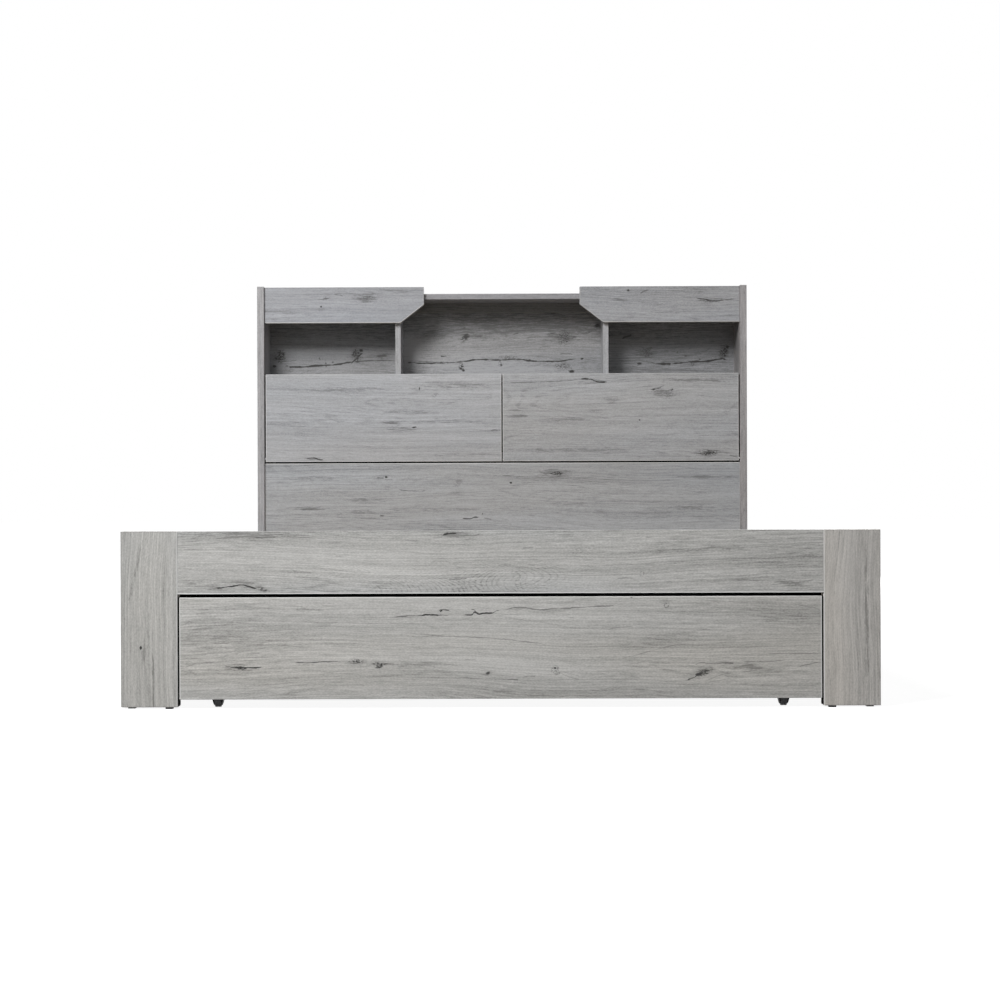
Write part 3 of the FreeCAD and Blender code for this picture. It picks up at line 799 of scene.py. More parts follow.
# The marks of each board, read from the foot rail up to the back panel
rail_marks = [
    Crack(1.5, 0.95, ((-599.3, 253), (-574.1, 255.3), (-556.7, 257.7), (-541, 259.3), (-528.7, 257),
                      (-514.9, 252.8), (-506.1, 250))),
    Knot(-530, 257, 10.4, 1.7, -0.3, 0.8),
    Cluster(-497, 250, 14.6, 6.3, -0.3, 0.55),
    Streak(-528, 264, 41.8, 10.4, 0, 0.28),
    Streak(-499, 253, 20.9, 8.4, -0.3, 0.35),
    Crack(1.2, 0.35, ((-678.5, 367.4), (-638.7, 365.6), (-590.5, 362.5))),
    Crack(1.4, 0.4, ((-584.2, 367.9), (-544.4, 368.6))),
    Crack(1.4, 0.45, ((-515.1, 359.3), (-490, 358), (-469.1, 359.2))),
    Crack(1.2, 0.38, ((-496.3, 364.3), (-452.3, 365.2))),
    Crack(1.2, 0.32, ((-435.6, 357), (-397.9, 358.5), (-366.5, 356.3))),
    Crack(1.2, 0.5, ((-504.6, 373.9), (-469, 374.6))),
    Streak(-524, 362, 156.7, 10.4, 0, 0.22),
    Knot(-113, 365, 8.4, 2.9, 0.3, 0.85),
    Crack(1.8, 0.85, ((-120.6, 361.4), (-109, 365.9), (-90.2, 366.7))),
    Crack(1.4, 0.4, ((-90.2, 362.9), (-67.2, 361.2), (-40, 365.7))),
    Streak(-94, 363, 58.5, 7.3, 0, 0.3),
    Crack(1.2, 0.4, ((-140.5, 357.5), (-119.5, 358.4))),
    Crack(1.2, 0.45, ((-109.4, 270.1), (-88.4, 270.9), (-67.5, 272.1))),
    Crack(1.4, 0.35, ((-87.5, 248.9), (-78, 257.3))),
    Figure(-150, 243, -140, 90, 26, 0.26),
    Figure(77, 275, -71, 45.5, 9, 0.2),
    Figure(-356, 284, -125.4, 48.4, 18, 0.12),
    Figure(-20, 262, 90, 70, 15, 0.2),
    Cluster(-75, 255, 38, 16, 0, 0.12),
    Cluster(-20, 265, 26, 20, 0, 0.1),
    Crack(1.2, 0.35, ((45.7, 334.9), (70.8, 336.5))),
    Cluster(173, 332, 46, 10.4, 0.1, 0.22),
    Crack(1.2, 0.35, ((221.2, 299.2), (244.2, 300.6))),
    Ring(296, 281, 5.4, 5.4, 0.4),
    Crack(1.4, 0.35, ((242, 267.8), (263, 271.9), (285.9, 267.2))),
    Crack(1, 0.3, ((223.3, 299.6), (275.6, 300.7), (327.9, 299.3))),
    Crack(1.4, 0.35, ((563.9, 256.3), (595.3, 259.7), (626.6, 262.4), (662.1, 269.8))),
    Streak(602, 260, 46, 8.4, -0.15, 0.32),
    Crack(1.2, 0.28, ((459.4, 251.8), (511.6, 253.5), (563.9, 254.2))),
    Crack(1, 0.25, ((292.4, 317.8), (355.1, 326), (396.9, 327.9))),
    Streak(397, 334, 146.3, 18.8, 0, 0.14),
    Streak(-608, 258, 83.6, 10.4, 0, 0.15),
    Streak(-240, 310, 260, 70, 0, -0.1),
    Streak(640, 310, 220, 90, 0, 0.09),
]
drawer_marks = [
    Crack(1.4, 0.85, ((-578.3, 89.7), (-564.2, 87.8), (-546.9, 87.5), (-522.4, 86.6), (-496.2, 87.6))),
    Cluster(-542, 86, 12.5, 6.7, -0.1, 0.95),
    Knot(-543, 87, 8.4, 3.3, -0.1, 0.75),
    Streak(-539, 85, 33.4, 10.4, 0, 0.28),
    Crack(1, 0.33, ((-662.7, 85.7), (-645.9, 92.6), (-627, 96.3), (-595.6, 99.2))),
    Crack(1.2, 0.75, ((-433.3, 97.6), (-407.2, 96.7), (-379.3, 98.1), (-358.4, 99.1), (-331.8, 98.4))),
    Cluster(-300, 99, 25.1, 5, -0.1, 0.55),
    Cluster(-254, 91, 16.7, 8.4, -0.1, 0.7),
    Streak(-277, 95, 62.7, 10.4, -0.05, 0.26),
    Crack(1.2, 0.4, ((-239.7, 93.1), (-210.4, 91.3))),
    Crack(1.2, 0.4, ((-635, 207.3), (-609.9, 208.5))),
    Streak(-398, 207, 50.1, 5.2, 0, 0.2),
    Crack(1, 0.62, ((-228, 191.2), (-208, 192.8), (-187, 194.2), (-159.8, 195), (-145.2, 196.2),
                    (-128.4, 195.9), (-104, 194.8))),
    Crack(1.4, 0.95, ((-166, 194.6), (-145.2, 196.2), (-126.3, 196))),
    Knot(-123.5, 204.8, 3.8, 2.6, 0.5, 0.95),
    Crack(1.2, 0.65, ((-129, 203.6), (-120, 206.6), (-106, 205.3))),
    Crack(1.3, 0.92, ((-79, 196.6), (-65.7, 195.4), (-58.3, 196.6), (-54.1, 201.2), (-45.8, 197.5),
                      (-34.3, 198.8), (-19.6, 199.1), (-13.3, 201.2), (-7.1, 204.7), (2, 205.5))),
    Knot(-69, 195.7, 6, 2, 0, 0.7),
    Crack(1, 0.6, ((-61.4, 206.8), (-56.2, 206.6), (-51, 202), (-44, 198.5))),
    Crack(1.4, 0.52, ((-3, 205.2), (7.6, 205.9), (22.2, 209), (41.1, 210.7), (62, 208.5), (82.9, 206.1),
                      (110, 208.2), (138.7, 209.1), (173.5, 210.9), (222.4, 213.4), (242, 212.8))),
    Streak(36, 208, 52, 4, 0, 0.25),
    Crack(1, 0.5, ((220.9, 212.8), (237.7, 213.8))),
    Crack(1, 0.28, ((-5, 195.3), (41, 196))),
    Knot(-26, 74, 6.3, 3.6, 0.2, 0.75),
    Streak(-26, 74, 18.8, 6.3, 0, 0.35),
    Knot(114, 84, 3.3, 2.5, 0, 1),
    Ring(114, 81, 7.9, 7.5, 0.5),
    Cluster(116, 76, 10.4, 7.3, -0.2, 0.4),
    Crack(0.9, 0.38, ((124.3, 74.2), (138.9, 67.3), (151.4, 63), (166.1, 60.3))),
    Crack(0.8, 0.28, ((126.4, 76.7), (145.2, 72.3), (166.1, 65.9))),
    Crack(1, 0.4, ((-95.4, 66.9), (-53.6, 63.2), (-18, 61.5), (34.3, 59.8))),
    Crack(1.6, 0.55, ((13.4, 59.7), (25.9, 60.5), (38.5, 59.6))),
    Crack(1.2, 0.45, ((44.8, 65), (61.5, 66.5), (74.1, 67.5))),
    Crack(0.9, 0.3, ((40.6, 58.4), (82.4, 58.4), (124.2, 57.7))),
    Crack(1.2, 0.42, ((-210.2, 157.9), (-168.3, 156.1), (-137, 153), (-105.6, 150.8), (-63.7, 149.5),
                      (-21.9, 146.8), (5.3, 145.1), (40.8, 140.8), (65.9, 137.4), (103.6, 132.5))),
    Crack(0.9, 0.33, ((-72.2, 124), (-26.2, 123.8))),
    Crack(1, 0.35, ((-78.5, 101.8), (-51.3, 102.1))),
    Streak(-148, 95, 104.5, 10.4, 0, 0.15),
    Streak(-169, 81, 104.5, 12.5, -0.05, 0.14),
    Ring(347, 214, 5, 5, 0.55),
    Knot(274, 231, 3.3, 2.1, 0, 0.6),
    Crack(1, 0.38, ((225, 164.1), (245.9, 168.2), (277.3, 171))),
    Crack(1, 0.38, ((241.5, 100.4), (295.3, 113.9), (340.5, 125.9), (371.8, 131.8), (424.1, 131.9),
                    (473, 135.3))),
    Crack(0.9, 0.28, ((233.1, 83.7), (274.9, 92), (323, 101.2), (358.6, 107.4))),
    Crack(0.8, 0.24, ((254.1, 118.2), (312.7, 129.5), (350.4, 146.1))),
    Crack(1.8, 0.8, ((389.8, 58.6), (403, 62.9), (413.4, 70.2), (423.9, 74.2))),
    Knot(415, 71, 11.5, 5.4, 0.5, 0.8),
    Cluster(425, 74, 20.9, 10.4, 0.35, 0.55),
    Ring(436, 79, 8.8, 7.5, 0.4),
    Streak(421, 73, 41.8, 16.7, 0.3, 0.26),
    Crack(1, 0.42, ((383.6, 90.6), (400.3, 88.5), (419.2, 94.7), (442.2, 91.9), (455.3, 92.5),
                    (471.4, 94.3), (488.1, 93.4))),
    Crack(1.4, 0.5, ((467.2, 93.5), (488.1, 93.8))),
    Crack(1.1, 0.48, ((504.2, 95.9), (552.9, 96.4), (601.6, 100.8))),
    Streak(517, 84, 66.9, 9.4, 0, 0.28),
    Streak(563, 76, 104.5, 12.5, 0, 0.14),
    Crack(0.9, 0.35, ((427.4, 56), (442.1, 61.1), (463, 69.5), (486, 73.1))),
    Crack(0.8, 0.26, ((416.9, 47.6), (450.4, 55.9), (486, 62.1))),
    Crack(1.1, 0.45, ((622.5, 83.2), (632.3, 88), (643.4, 90.2), (667.9, 95.4))),
    Crack(1.1, 0.42, ((556.5, 112.5), (615.7, 113.1), (667.9, 113.4))),
    Crack(1, 0.35, ((622.3, 213.9), (647.3, 210), (668.2, 205.8))),
    Crack(0.9, 0.3, ((584.4, 138.1), (626.2, 140.3), (668, 139.3))),
    Crack(0.9, 0.3, ((490.3, 111.2), (521.6, 109.6), (555.1, 112))),
    Crack(0.8, 0.26, ((228.8, 56.5), (291.5, 59.5), (350.1, 55.4), (416.9, 51.8))),
    Streak(334, 142, 125.4, 20.9, 0.2, 0.1),
    Streak(605, 193, 83.6, 29.3, 0, 0.05),
    Crack(0.9, 0.28, ((271, 174.8), (344.2, 175.4), (417.3, 173.9))),
    Crack(0.9, 0.25, ((-649.9, 143.7), (-566.1, 142.2), (-499.1, 143.7))),
    Crack(0.9, 0.28, ((-675.2, 111.5), (-612.3, 115.5))),
    Streak(-600, 130, 240, 110, 0, 0.1),
    Streak(30, 130, 300, 100, 0, -0.06),
]
post_left_marks = [
    Knot(129, -753, 3.8, 3.4, 0, 1),
    Streak(120, -748, 30, 12, 0, 0.3),
    Streak(50, -727, 110, 3, 0, 0.45),
    Streak(280, -765, 90, 6, 0.2, 0.2),
]
post_right_marks = [
    Streak(180, 766, 250, 6, 0, 0.25),
]
lower_marks = [
    Knot(-378, 510, 5.8, 4.2, 0, 0.95),
    Crack(1.8, 0.5, ((-407.8, 507.8), (-385, 508.3))),
    Streak(-392, 507, 45.5, 9.7, 0, 0.28),
    Crack(1.6, 0.5, ((-339.6, 469.8), (-310.3, 465.8), (-277.8, 463.7), (-245.2, 466.2))),
    Cluster(-144, 490, 19.5, 16.2, 0.5, 0.25),
    Streak(-623, 408, 71.4, 9.7, 0, 0.3),
    Crack(1.6, 0.35, ((-652.4, 405.1), (-616.6, 406.2))),
    Streak(-457, 398, 51.9, 8.1, 0, 0.35),
    Knot(-393, 384, 9.7, 2.9, 0, 0.85),
    Crack(1.4, 0.35, ((-496.2, 383.7), (-457.1, 377.1), (-405, 376.9))),
    Streak(-441, 435, 116.9, 9.7, 0, 0.2),
    Streak(-203, 406, 227.3, 9.7, 0, 0.18),
    Crack(2, 0.75, ((-131.6, 374.7), (-105.6, 374), (-82.8, 379.1), (-76.3, 377.8))),
    Knot(-86, 378, 9.7, 3.2, 0.1, 0.6),
    Knot(-65, 390, 2.9, 4.9, 0, 0.55),
    Crack(1.8, 0.45, ((-60, 375.8), (-34, 371.8))),
    Streak(-616, 506, 162.3, 9.7, 0, 0.2),
    Streak(-235, 503, 194.8, 13, 0, 0.1),
    Cluster(178, 520, 26, 9.7, 0, 0.8),
    Knot(178, 518, 14.6, 3.9, 0, 0.5),
    Streak(175, 521, 71.4, 19.5, 0, 0.36),
    Crack(2, 0.45, ((-1, 513.6), (21.8, 514.8), (41.3, 513.4))),
    Crack(1.6, 0.35, ((42.9, 504.3), (57.6, 513.4))),
    Knot(28, 490, 4.5, 3.6, 0, 0.95),
    Crack(1.6, 0.35, ((83.2, 385.1), (106, 381.7))),
    Streak(662, 507, 116.9, 9.7, 0, 0.2),
    Streak(623, 406, 155.8, 16.2, 0, 0.18),
    Crack(1.4, 0.3, ((480.2, 424.8), (528.9, 427.9))),
    Crack(1.2, 0.22, ((317.8, 500.1), (447.9, 496.4), (577.9, 501.8))),
    Cluster(539, 390, 22.7, 16.2, 0, 0.18),
]
door_left_marks = [
    Knot(-269, 797, 2.9, 6.5, 0, 0.85),
    Streak(-270, 793, 32.5, 8.1, 0, 0.2),
    Crack(1.4, 0.45, ((-208.4, 753.1), (-179.2, 751), (-149.9, 753.5))),
    Cluster(-218, 777, 16.2, 9.7, 0.3, 0.28),
    Cluster(-42, 771, 16.2, 13, 0.3, 0.22),
    Streak(-495, 795, 194.8, 9.7, 0.02, 0.22),
    Streak(-153, 806, 178.6, 19.5, 0, 0.16),
    Streak(-300, 722, 116.9, 9.7, 0, 0.24),
    Streak(-137, 689, 162.3, 9.7, 0, 0.2),
    Crack(1.4, 0.3, ((-596, 698.5), (-560.2, 699.6), (-540.7, 693.1), (-511.4, 690.4))),
    Crack(1.6, 0.4, ((-537.4, 690.1), (-511.4, 690.7))),
    Crack(1.8, 0.45, ((-390.9, 689.9), (-364.9, 685.3), (-335.6, 685.2))),
    Streak(-358, 686, 58.4, 9.7, 0, 0.25),
    Knot(-285, 672, 9.7, 2.9, 0.1, 0.9),
    Crack(1.2, 0.35, ((-381.2, 668.4), (-345.4, 661.8), (-303.1, 659.7))),
    Crack(1.2, 0.25, ((-384.5, 676.2), (-338.9, 672.2), (-296.6, 675.9))),
    Streak(-326, 666, 71.4, 13, 0, 0.22),
    Crack(1.8, 0.55, ((-39.5, 659.4), (-20, 662), (-3.7, 661.3))),
    Crack(2.6, 0.8, ((-638.8, 567.8), (-616, 572.9), (-599.7, 568.9), (-580.2, 565.6))),
    Streak(-616, 571, 45.5, 6.5, 0, 0.3),
    Crack(1.2, 0.35, ((-548.5, 589.6), (-511.7, 588.8), (-479.2, 584.1))),
    Figure(-648, 651, -77.9, 45.5, 14, 0.1),
    Streak(-105, 581, 227.3, 8.1, 0, 0.12),
]
door_right_marks = [
    Crack(1.8, 0.48, ((6.5, 815.4), (129.2, 817.9), (210.5, 821.9), (264.5, 826.2))),
    Crack(2.6, 0.95, ((252, 825.2), (263.6, 826.9), (286.3, 826.2), (302.6, 820.3), (318.8, 816.3),
                      (343, 818.2))),
    Streak(317, 819, 30, 8, -0.2, 0.3),
    Crack(1.6, 0.34, ((139.9, 806.2), (188.7, 799.5), (227.7, 796.8), (290, 799.2))),
    Streak(299, 819, 71.4, 11.4, 0, 0.3),
    Streak(644, 822, 146.1, 9.7, 0, 0.3),
    Crack(1.6, 0.55, ((481.3, 790.4), (497.6, 796.2), (513.9, 800.7), (532, 806.2))),
    Crack(2.2, 0.8, ((487.8, 790.6), (500.9, 793.8), (519, 799))),
    Crack(1.8, 0.45, ((529, 782), (540, 788), (552, 793))),
    Crack(1.8, 0.38, ((534, 770), (543, 778), (556, 786))),
    Knot(553, 791, 5, 4.2, 0.3, 0.75),
    Cluster(535, 778, 56, 20, -0.1, 0.26),
    Streak(527, 780, 77.9, 22.7, 0, 0.22),
    Streak(361, 758, 45.5, 13, 0, 0.2),
    Streak(45, 728, 42.2, 6.5, 0, 0.3),
    Streak(45, 706, 48.7, 7.8, 0, 0.35),
    Crack(1.8, 0.45, ((45.2, 706), (68, 707.2), (87.5, 703.9))),
    Streak(208, 695, 123.4, 9.7, 0, 0.24),
    Crack(1.2, 0.26, ((263, 665.6), (318.3, 673.8), (373.6, 678.2))),
    Crack(1.2, 0.22, ((269.5, 657.7), (324.8, 665.3), (383.4, 670.3))),
    Knot(447, 693, 2.9, 2.9, 0, 0.8),
    Knot(672, 585, 14.6, 3.6, 0, 0.75),
    Cluster(672, 585, 39, 13, 0, 0.6),
    Streak(672, 585, 71.4, 17.9, 0, 0.3),
    Crack(2, 0.45, ((737.5, 578.1), (753.7, 573.5), (769.9, 570.1))),
    Streak(269, 597, 259.7, 8.4, 0, 0.22),
    Cluster(302, 719, 29.2, 13, 0, 0.2),
    Cluster(731, 721, 19.5, 13, 0.3, 0.25),
    Crack(1.8, 0.35, ((109.9, 597.8), (129.4, 600.3))),
]
fascia_left_marks = [
    # The rim along the fascia's slanting bottom edge is a painted highlight
    Rim(-330, 1012, 0.771, 0.8),
    Knot(-588, 1065, 4.2, 4.2, 0, 0.95),
    Streak(-588, 1061, 16.2, 16.2, 0, 0.12),
    Crack(1.8, 0.45, ((-604.5, 1087.8), (-584.9, 1089.6), (-560.5, 1092.8))),
    Cluster(-572, 1092, 16.2, 5.8, 0.1, 0.45),
    Crack(2, 0.45, ((-545.8, 1104.5), (-529.5, 1103.1), (-516.5, 1099.2))),
    Cluster(-442, 1091, 33, 12, 0.1, 0.4),
    Knot(-430, 1097, 4.5, 3.5, 0.5, 0.5),
    Streak(-448, 1093, 51.9, 19.5, 0, 0.34),
    Crack(1.6, 0.4, ((-454.7, 1078.7), (-422.2, 1079.9))),
    Streak(-510, 1106, 194.8, 9.7, 0, 0.12),
    Streak(-331, 1115, 97.4, 8.1, 0, 0.12),
]
fascia_right_marks = [
    # The rim along the fascia's slanting bottom edge is a painted highlight
    Rim(330, 1012, -0.771, 0.5),
    Knot(412, 1115, 5.2, 4.5, 0, 0.8),
    Crack(1.8, 0.5, ((449.8, 1104.7), (466.1, 1112.4), (480.8, 1116.3))),
    Cluster(463, 1111, 19.5, 7.8, 0.3, 0.3),
    Crack(2.2, 0.65, ((628.6, 1089.4), (649.1, 1086.4), (665.3, 1083.7), (681.6, 1079.4),
                      (697.8, 1079.3), (718, 1082.2), (762.9, 1085.3))),
    Knot(668, 1083, 11.4, 3.9, -0.25, 0.85),
    Knot(689, 1079, 9.7, 2.9, 0, 0.7),
    Cluster(668, 1079, 29.2, 11.4, -0.1, 0.35),
    Streak(684, 1084, 77.9, 11.4, 0, 0.24),
    Streak(381, 1085, 32.5, 5.8, 0, 0.28),
    Streak(612, 1112, 162.3, 8.1, 0, 0.1),
]
back_marks = [
    Crack(2.99, 1, ((-717.9, 881.8), (-667.8, 880.3), (-623.4, 884.1), (-590, 885.6), (-556.6, 887.5),
                    (-528.5, 892.1), (-511.8, 894.7), (-489.8, 896.3))),
    Crack(3.91, 1, ((-712.3, 881.1), (-691.2, 880.3), (-667.8, 880.6))),
    Crack(2.3, 0.6, ((-494.1, 896), (-467.4, 898.6), (-439.7, 901.1), (-400.6, 901.7), (-358.9, 900.2))),
    Knot(-760, 883, 6.6, 5, 0, 0.85),
    Knot(-718, 884, 6.6, 3.4, 0, 0.6),
    Ring(-588, 887, 3.7, 7.3, 0.8),
    Knot(-565, 895, 5, 4.6, 0, 0.6),
    Cluster(-741, 917, 23, 25, 0, 0.75),
    Streak(-741, 914, 30, 30, 0, 0.35),
    Knot(-609, 908, 4.1, 5, -0.5, 0.6),
    Knot(-470, 935, 9.1, 5.4, 0, 1),
    Cluster(-484, 918, 20.9, 27.1, -0.55, 1),
    Crack(2.6, 0.9, ((-504.5, 890), (-494.1, 901), (-484.1, 908), (-474, 918.9), (-464, 927.5))),
    Knot(-497, 921, 6, 5, 0, 0.8),
    Knot(-481, 896, 10.9, 3.7, 0, 0.8),
    Streak(-487, 916, 33.4, 26.7, 0, 0.38),
    Streak(-404, 917, 50.1, 11.7, 0, 0.42),
    Crack(2.3, 0.48, ((-420.6, 915.4), (-383.9, 918))),
    Crack(1.84, 0.384, ((-410.7, 885.3), (-360.6, 885.2))),
    Crack(1.84, 0.42, ((-727.9, 898.5), (-684.5, 902.3))),
    Crack(2.53, 0.84, ((-320.5, 894.4), (-300.5, 894.3), (-273.8, 891.2), (-212.7, 892), (-168, 893.5),
                       (-134.6, 896), (-109.6, 898.9), (-73.5, 903.2), (-29.1, 901.3), (9.9, 901.2),
                       (40.6, 903.7), (71, 902), (87.7, 899.2), (115.7, 896.8), (182.4, 896.2),
                       (215.8, 900.4), (243.5, 903), (270.2, 903.6))),
    Knot(-307, 894, 10.9, 4.1, 0, 0.6),
    Knot(-142, 895, 12.5, 3.7, 0.1, 0.6),
    Knot(-28, 902, 12.5, 3.7, 0, 0.6),
    Knot(41, 904, 8.4, 4.1, 0, 0.6),
    Knot(89, 899, 12.5, 5.9, 0, 0.95),
    Knot(267, 904, 7.5, 5, 0.2, 0.9),
    Cluster(20, 909, 41.7, 10, 0, 0.4),
    Cluster(-47, 908, 33.4, 7.5, 0, 0.25),
    Crack(1.61, 0.36, ((270.2, 903.6), (300.2, 898.8), (326.9, 896.7))),
    Knot(-121, 980, 10, 10.9, 0, 0.85),
    Cluster(-122, 977, 18.4, 16.6, 0.6, 0.65),
    Streak(-80, 980, 33.4, 8, 0, 0.34),
    Crack(2.3, 0.48, ((-89.9, 981), (-66.6, 979.5))),
    Knot(-126, 1008, 5.9, 4.1, 0.4, 0.45),
    Crack(2.76, 0.54, ((36.9, 986.5), (56.9, 991.8))),
    Crack(2.53, 0.72, ((-205.3, 914), (-183.6, 914.6))),
    Cluster(-136, 879, 10.9, 16.6, 0, 0.7),
    Knot(-129, 867, 6.6, 5.9, 0, 1),
    Ring(-7, 890, 4.3, 8.7, 0.6),
    Knot(-3, 885, 5, 5.9, 0, 0.75),
    Star(208, 974, 33.4, 31.8, 11, 0.85),
    Cluster(214, 977, 37.5, 29.3, 0, 0.4),
    Streak(194, 977, 73.4, 30, 0, 0.26),
    Streak(170, 989, 26.7, 8.3, 0, 0.32),
    Crack(2.3, 0.48, ((160.4, 990.7), (187, 986))),
    Streak(287, 991, 16.7, 6.7, 0.3, 0.45),
    Knot(290, 992, 6.6, 3.7, 0.4, 0.4),
    Knot(317, 1015, 11.6, 7.1, 0.1, 1),
    Crack(2.07, 0.42, ((123.5, 938.8), (143.5, 944.4), (163.5, 942.7))),
    Crack(1.61, 0.3, ((113.5, 934.2), (146.8, 936.1))),
    Crack(2.07, 0.48, ((190.2, 919.2), (213.5, 921.8), (236.9, 917))),
    Ring(204, 882, 10, 7.3, 0.75),
    Cluster(203, 880, 37.5, 15, 0, 0.45),
    Knot(233, 862, 10, 5.9, 0, 1),
    Star(233, 863, 18.4, 13.4, 5, 0.6),
    Crack(2.3, 0.6, ((496.3, 892.8), (512.9, 886.7))),
    Crack(4.14, 1, ((510.3, 886.7), (537, 886.3), (566, 886.8))),
    Crack(3.22, 1, ((563.6, 886.5), (593.7, 889.1), (635.3, 893.3), (682.7, 894.8), (716.1, 900.3),
                    (746.4, 902.9))),
    Knot(740, 902, 12.5, 4.1, -0.2, 0.85),
    Knot(458, 887, 10, 5.9, 0.2, 0.95),
    Star(483, 925, 31.2, 25, 9, 0.75),
    Cluster(483, 926, 29.3, 25, 0, 0.35),
    Streak(477, 923, 46.7, 26.7, 0, 0.28),
    Ring(636, 888, 4, 9.3, 0.75),
    Knot(585, 926, 3.7, 3.4, 0, 0.5),
    Knot(613, 913, 5.9, 4.1, 0, 0.5),
    Knot(683, 931, 5.9, 3.4, 0.3, 0.4),
    Knot(660, 901, 4.1, 3.4, 0, 0.7),
    Knot(752, 942, 8.4, 6.6, 0, 1),
    Cluster(740, 924, 18.7, 23, 0.3, 0.85),
    Streak(740, 925, 26.7, 30, 0, 0.35),
    Crack(3.45, 0.72, ((400.5, 971.8), (417.2, 977.8), (433.9, 983.7))),
    Streak(421, 980, 40, 13.3, -0.3, 0.3),
    Streak(-7, 951, 233.6, 20, 0, 0.08),
    Crack(1.61, 0.3, ((580.2, 863.8), (660.3, 862.2))),
    Crack(2.3, 0.6, ((163.9, 1056.8), (180.6, 1058))),
    # Painted light: lighter at the bottom of the centre recess and of the left bay
    Streak(-20, 870, 360, 60, 0, -0.36),
    Streak(-560, 880, 140, 40, 0, -0.1),
    # Painted shade: a darker band under the top shelf and the fascias
    Streak(0, 1035, 1600, 90, 0, 0.26),
    # Painted light: lighter at the left of the centre recess, in the divider's shadow
    Streak(-310, 930, 55, 100, 0, -0.5),
    # Painted shade: darker at the bottom of the right bay
    Streak(580, 890, 300, 90, 0, 0.12),
]
side_left_marks = [
    # Painted light: lighter on the inner face of the left side panel, in the left bay
    Streak(940, 1040, 150, 70, 0, -0.12),
]
side_right_marks = [
    # Painted shade: darker on the inner face of the right side panel, in the right bay
    Streak(950, 1050, 220, 110, 0, 0.34),
]

# Each board: direction of the grain, seed, marks, strength of the lines along the edges left, right,
# bottom and top (painted highlight above zero, painted shade below), how light it is, how much warmer,
# how much redder, how strong its grain is. Lightness and warmth are set board by board, in part as
# painted light and shade: lighter where the lamps fall off, darker in the shade of the cubbies.
no_lines = (0, 0, 0, 0)
boards = {
    "footboard_rail": ("XZY", 1, rail_marks, (0, 0, 1.0, -0.18), 1.18, -0.1, 0.0, 0.92),
    "footboard_post_left": ("ZXY", 2, post_left_marks, (-0.15, 0.5, -0.2, -0.18), 1.07, 0.6, 0.0, 0.82),
    "footboard_post_right": ("ZXY", 3, post_right_marks, (0.5, -0.15, -0.2, -0.18), 1.29, 2.2, 1.0, 0.65),
    "drawer_front": ("XZY", 4, drawer_marks, (0.5, 0.8, 0.1, 0.35), 1.17, 1.2, 0.2, 0.86),
    "headboard_lower_panel": ("XZY", 5, lower_marks, (0.3, 0.3, 0, 0.8), 0.92, -2.4, 0.4, 0.78),
    "flap_door_left": ("XZY", 6, door_left_marks, (0.6, 0.55, 0.5, 0.2), 1.01, -2.4, 0.8, 0.68),
    "flap_door_right": ("XZY", 7, door_right_marks, (0.5, 0.6, 0.5, 0.2), 0.94, -1.7, 0.7, 0.80),
    "headboard_fascia_left": ("XZY", 8, fascia_left_marks, (0, 0.3, 0.9, -0.15), 0.83, -3.8, 1.1, 0.72),
    "headboard_fascia_right": ("XZY", 9, fascia_right_marks, (0.3, 0, 0.9, -0.15), 0.81, -2.5, 1.0, 0.90),
    "headboard_side_left": ("ZYX", 10, side_left_marks, no_lines, 0.88, -1.5, 1.6, 0.75),
    "headboard_side_right": ("ZYX", 11, side_right_marks, no_lines, 0.81, -0.2, 2.6, 0.9),
    "cubby_divider_left": ("ZYX", 12, (), no_lines, 0.96, -2.3, 1.0, 1.0),
    "cubby_divider_right": ("ZYX", 13, (), no_lines, 0.96, -1.8, 1.0, 0.9),
    "headboard_top_shelf": ("XYZ", 14, (), no_lines, 0.70, -1.4, 2.2, 1.0),
    "cubby_floor_board": ("XYZ", 15, (), no_lines, 0.86, -1.0, 1.0, 1.0),
    "compartment_floor_board": ("XYZ", 16, (), no_lines, 0.90, 0.0, 0.0, 1.0),
    "compartment_partition": ("ZYX", 17, (), no_lines, 0.90, 0.0, 0.0, 1.0),
    "headboard_rear_stretcher": ("XZY", 18, (), no_lines, 1.0, 0.0, 0.0, 1.0),
    "side_rail_left": ("YZX", 19, (), no_lines, 1.0, 0.0, 0.0, 1.0),
    "side_rail_right": ("YZX", 20, (), no_lines, 1.0, 0.0, 0.0, 1.0),
    "headboard_back_panel": ("XZY", 21, back_marks, no_lines, 0.64, -1.6, 0.9, 1.0),
    "headboard_shelf_batten": ("XZY", 22, (), (0, 0, 0.45, 0), 0.37, 0.5, 0.0, 1.0),
}


def plain(name, colour, roughness, grain, fineness, metallic, relief, gloss):
    """A plain moulded, plated or rubber finish with a little unevenness."""
    material, t, shader = new_material(name)
    at = t.put("ShaderNodeTexCoord").outputs["Object"]
    speck = t.noise(at, fineness, fineness, *plain_speck)
    patch = t.noise(at, *plain_patches)
    drift = t.sums("MULTIPLY", t.sums("SUBTRACT", patch, 0.5), grain * 2)
    level = t.sums("MULTIPLY_ADD", speck, grain, drift)
    darker = tuple(c * 0.7 for c in colour)
    lighter = tuple(min(1.0, c * 1.3) for c in colour)
    t.join(t.blend(t.sums("ADD", level, 0.5, clamp=True), darker, lighter), shader.inputs["Base Color"])
    smoothest, roughest = roughness - plain_roughness_swing, roughness + plain_roughness_swing
    t.join(t.spread(patch, 0.3, 0.7, smoothest, roughest), shader.inputs["Roughness"])
    raise_surface(t, shader, speck, relief, plain_relief_height)
    shader.inputs["Metallic"].default_value = metallic
    shader.inputs["Specular IOR Level"].default_value = gloss
    return material


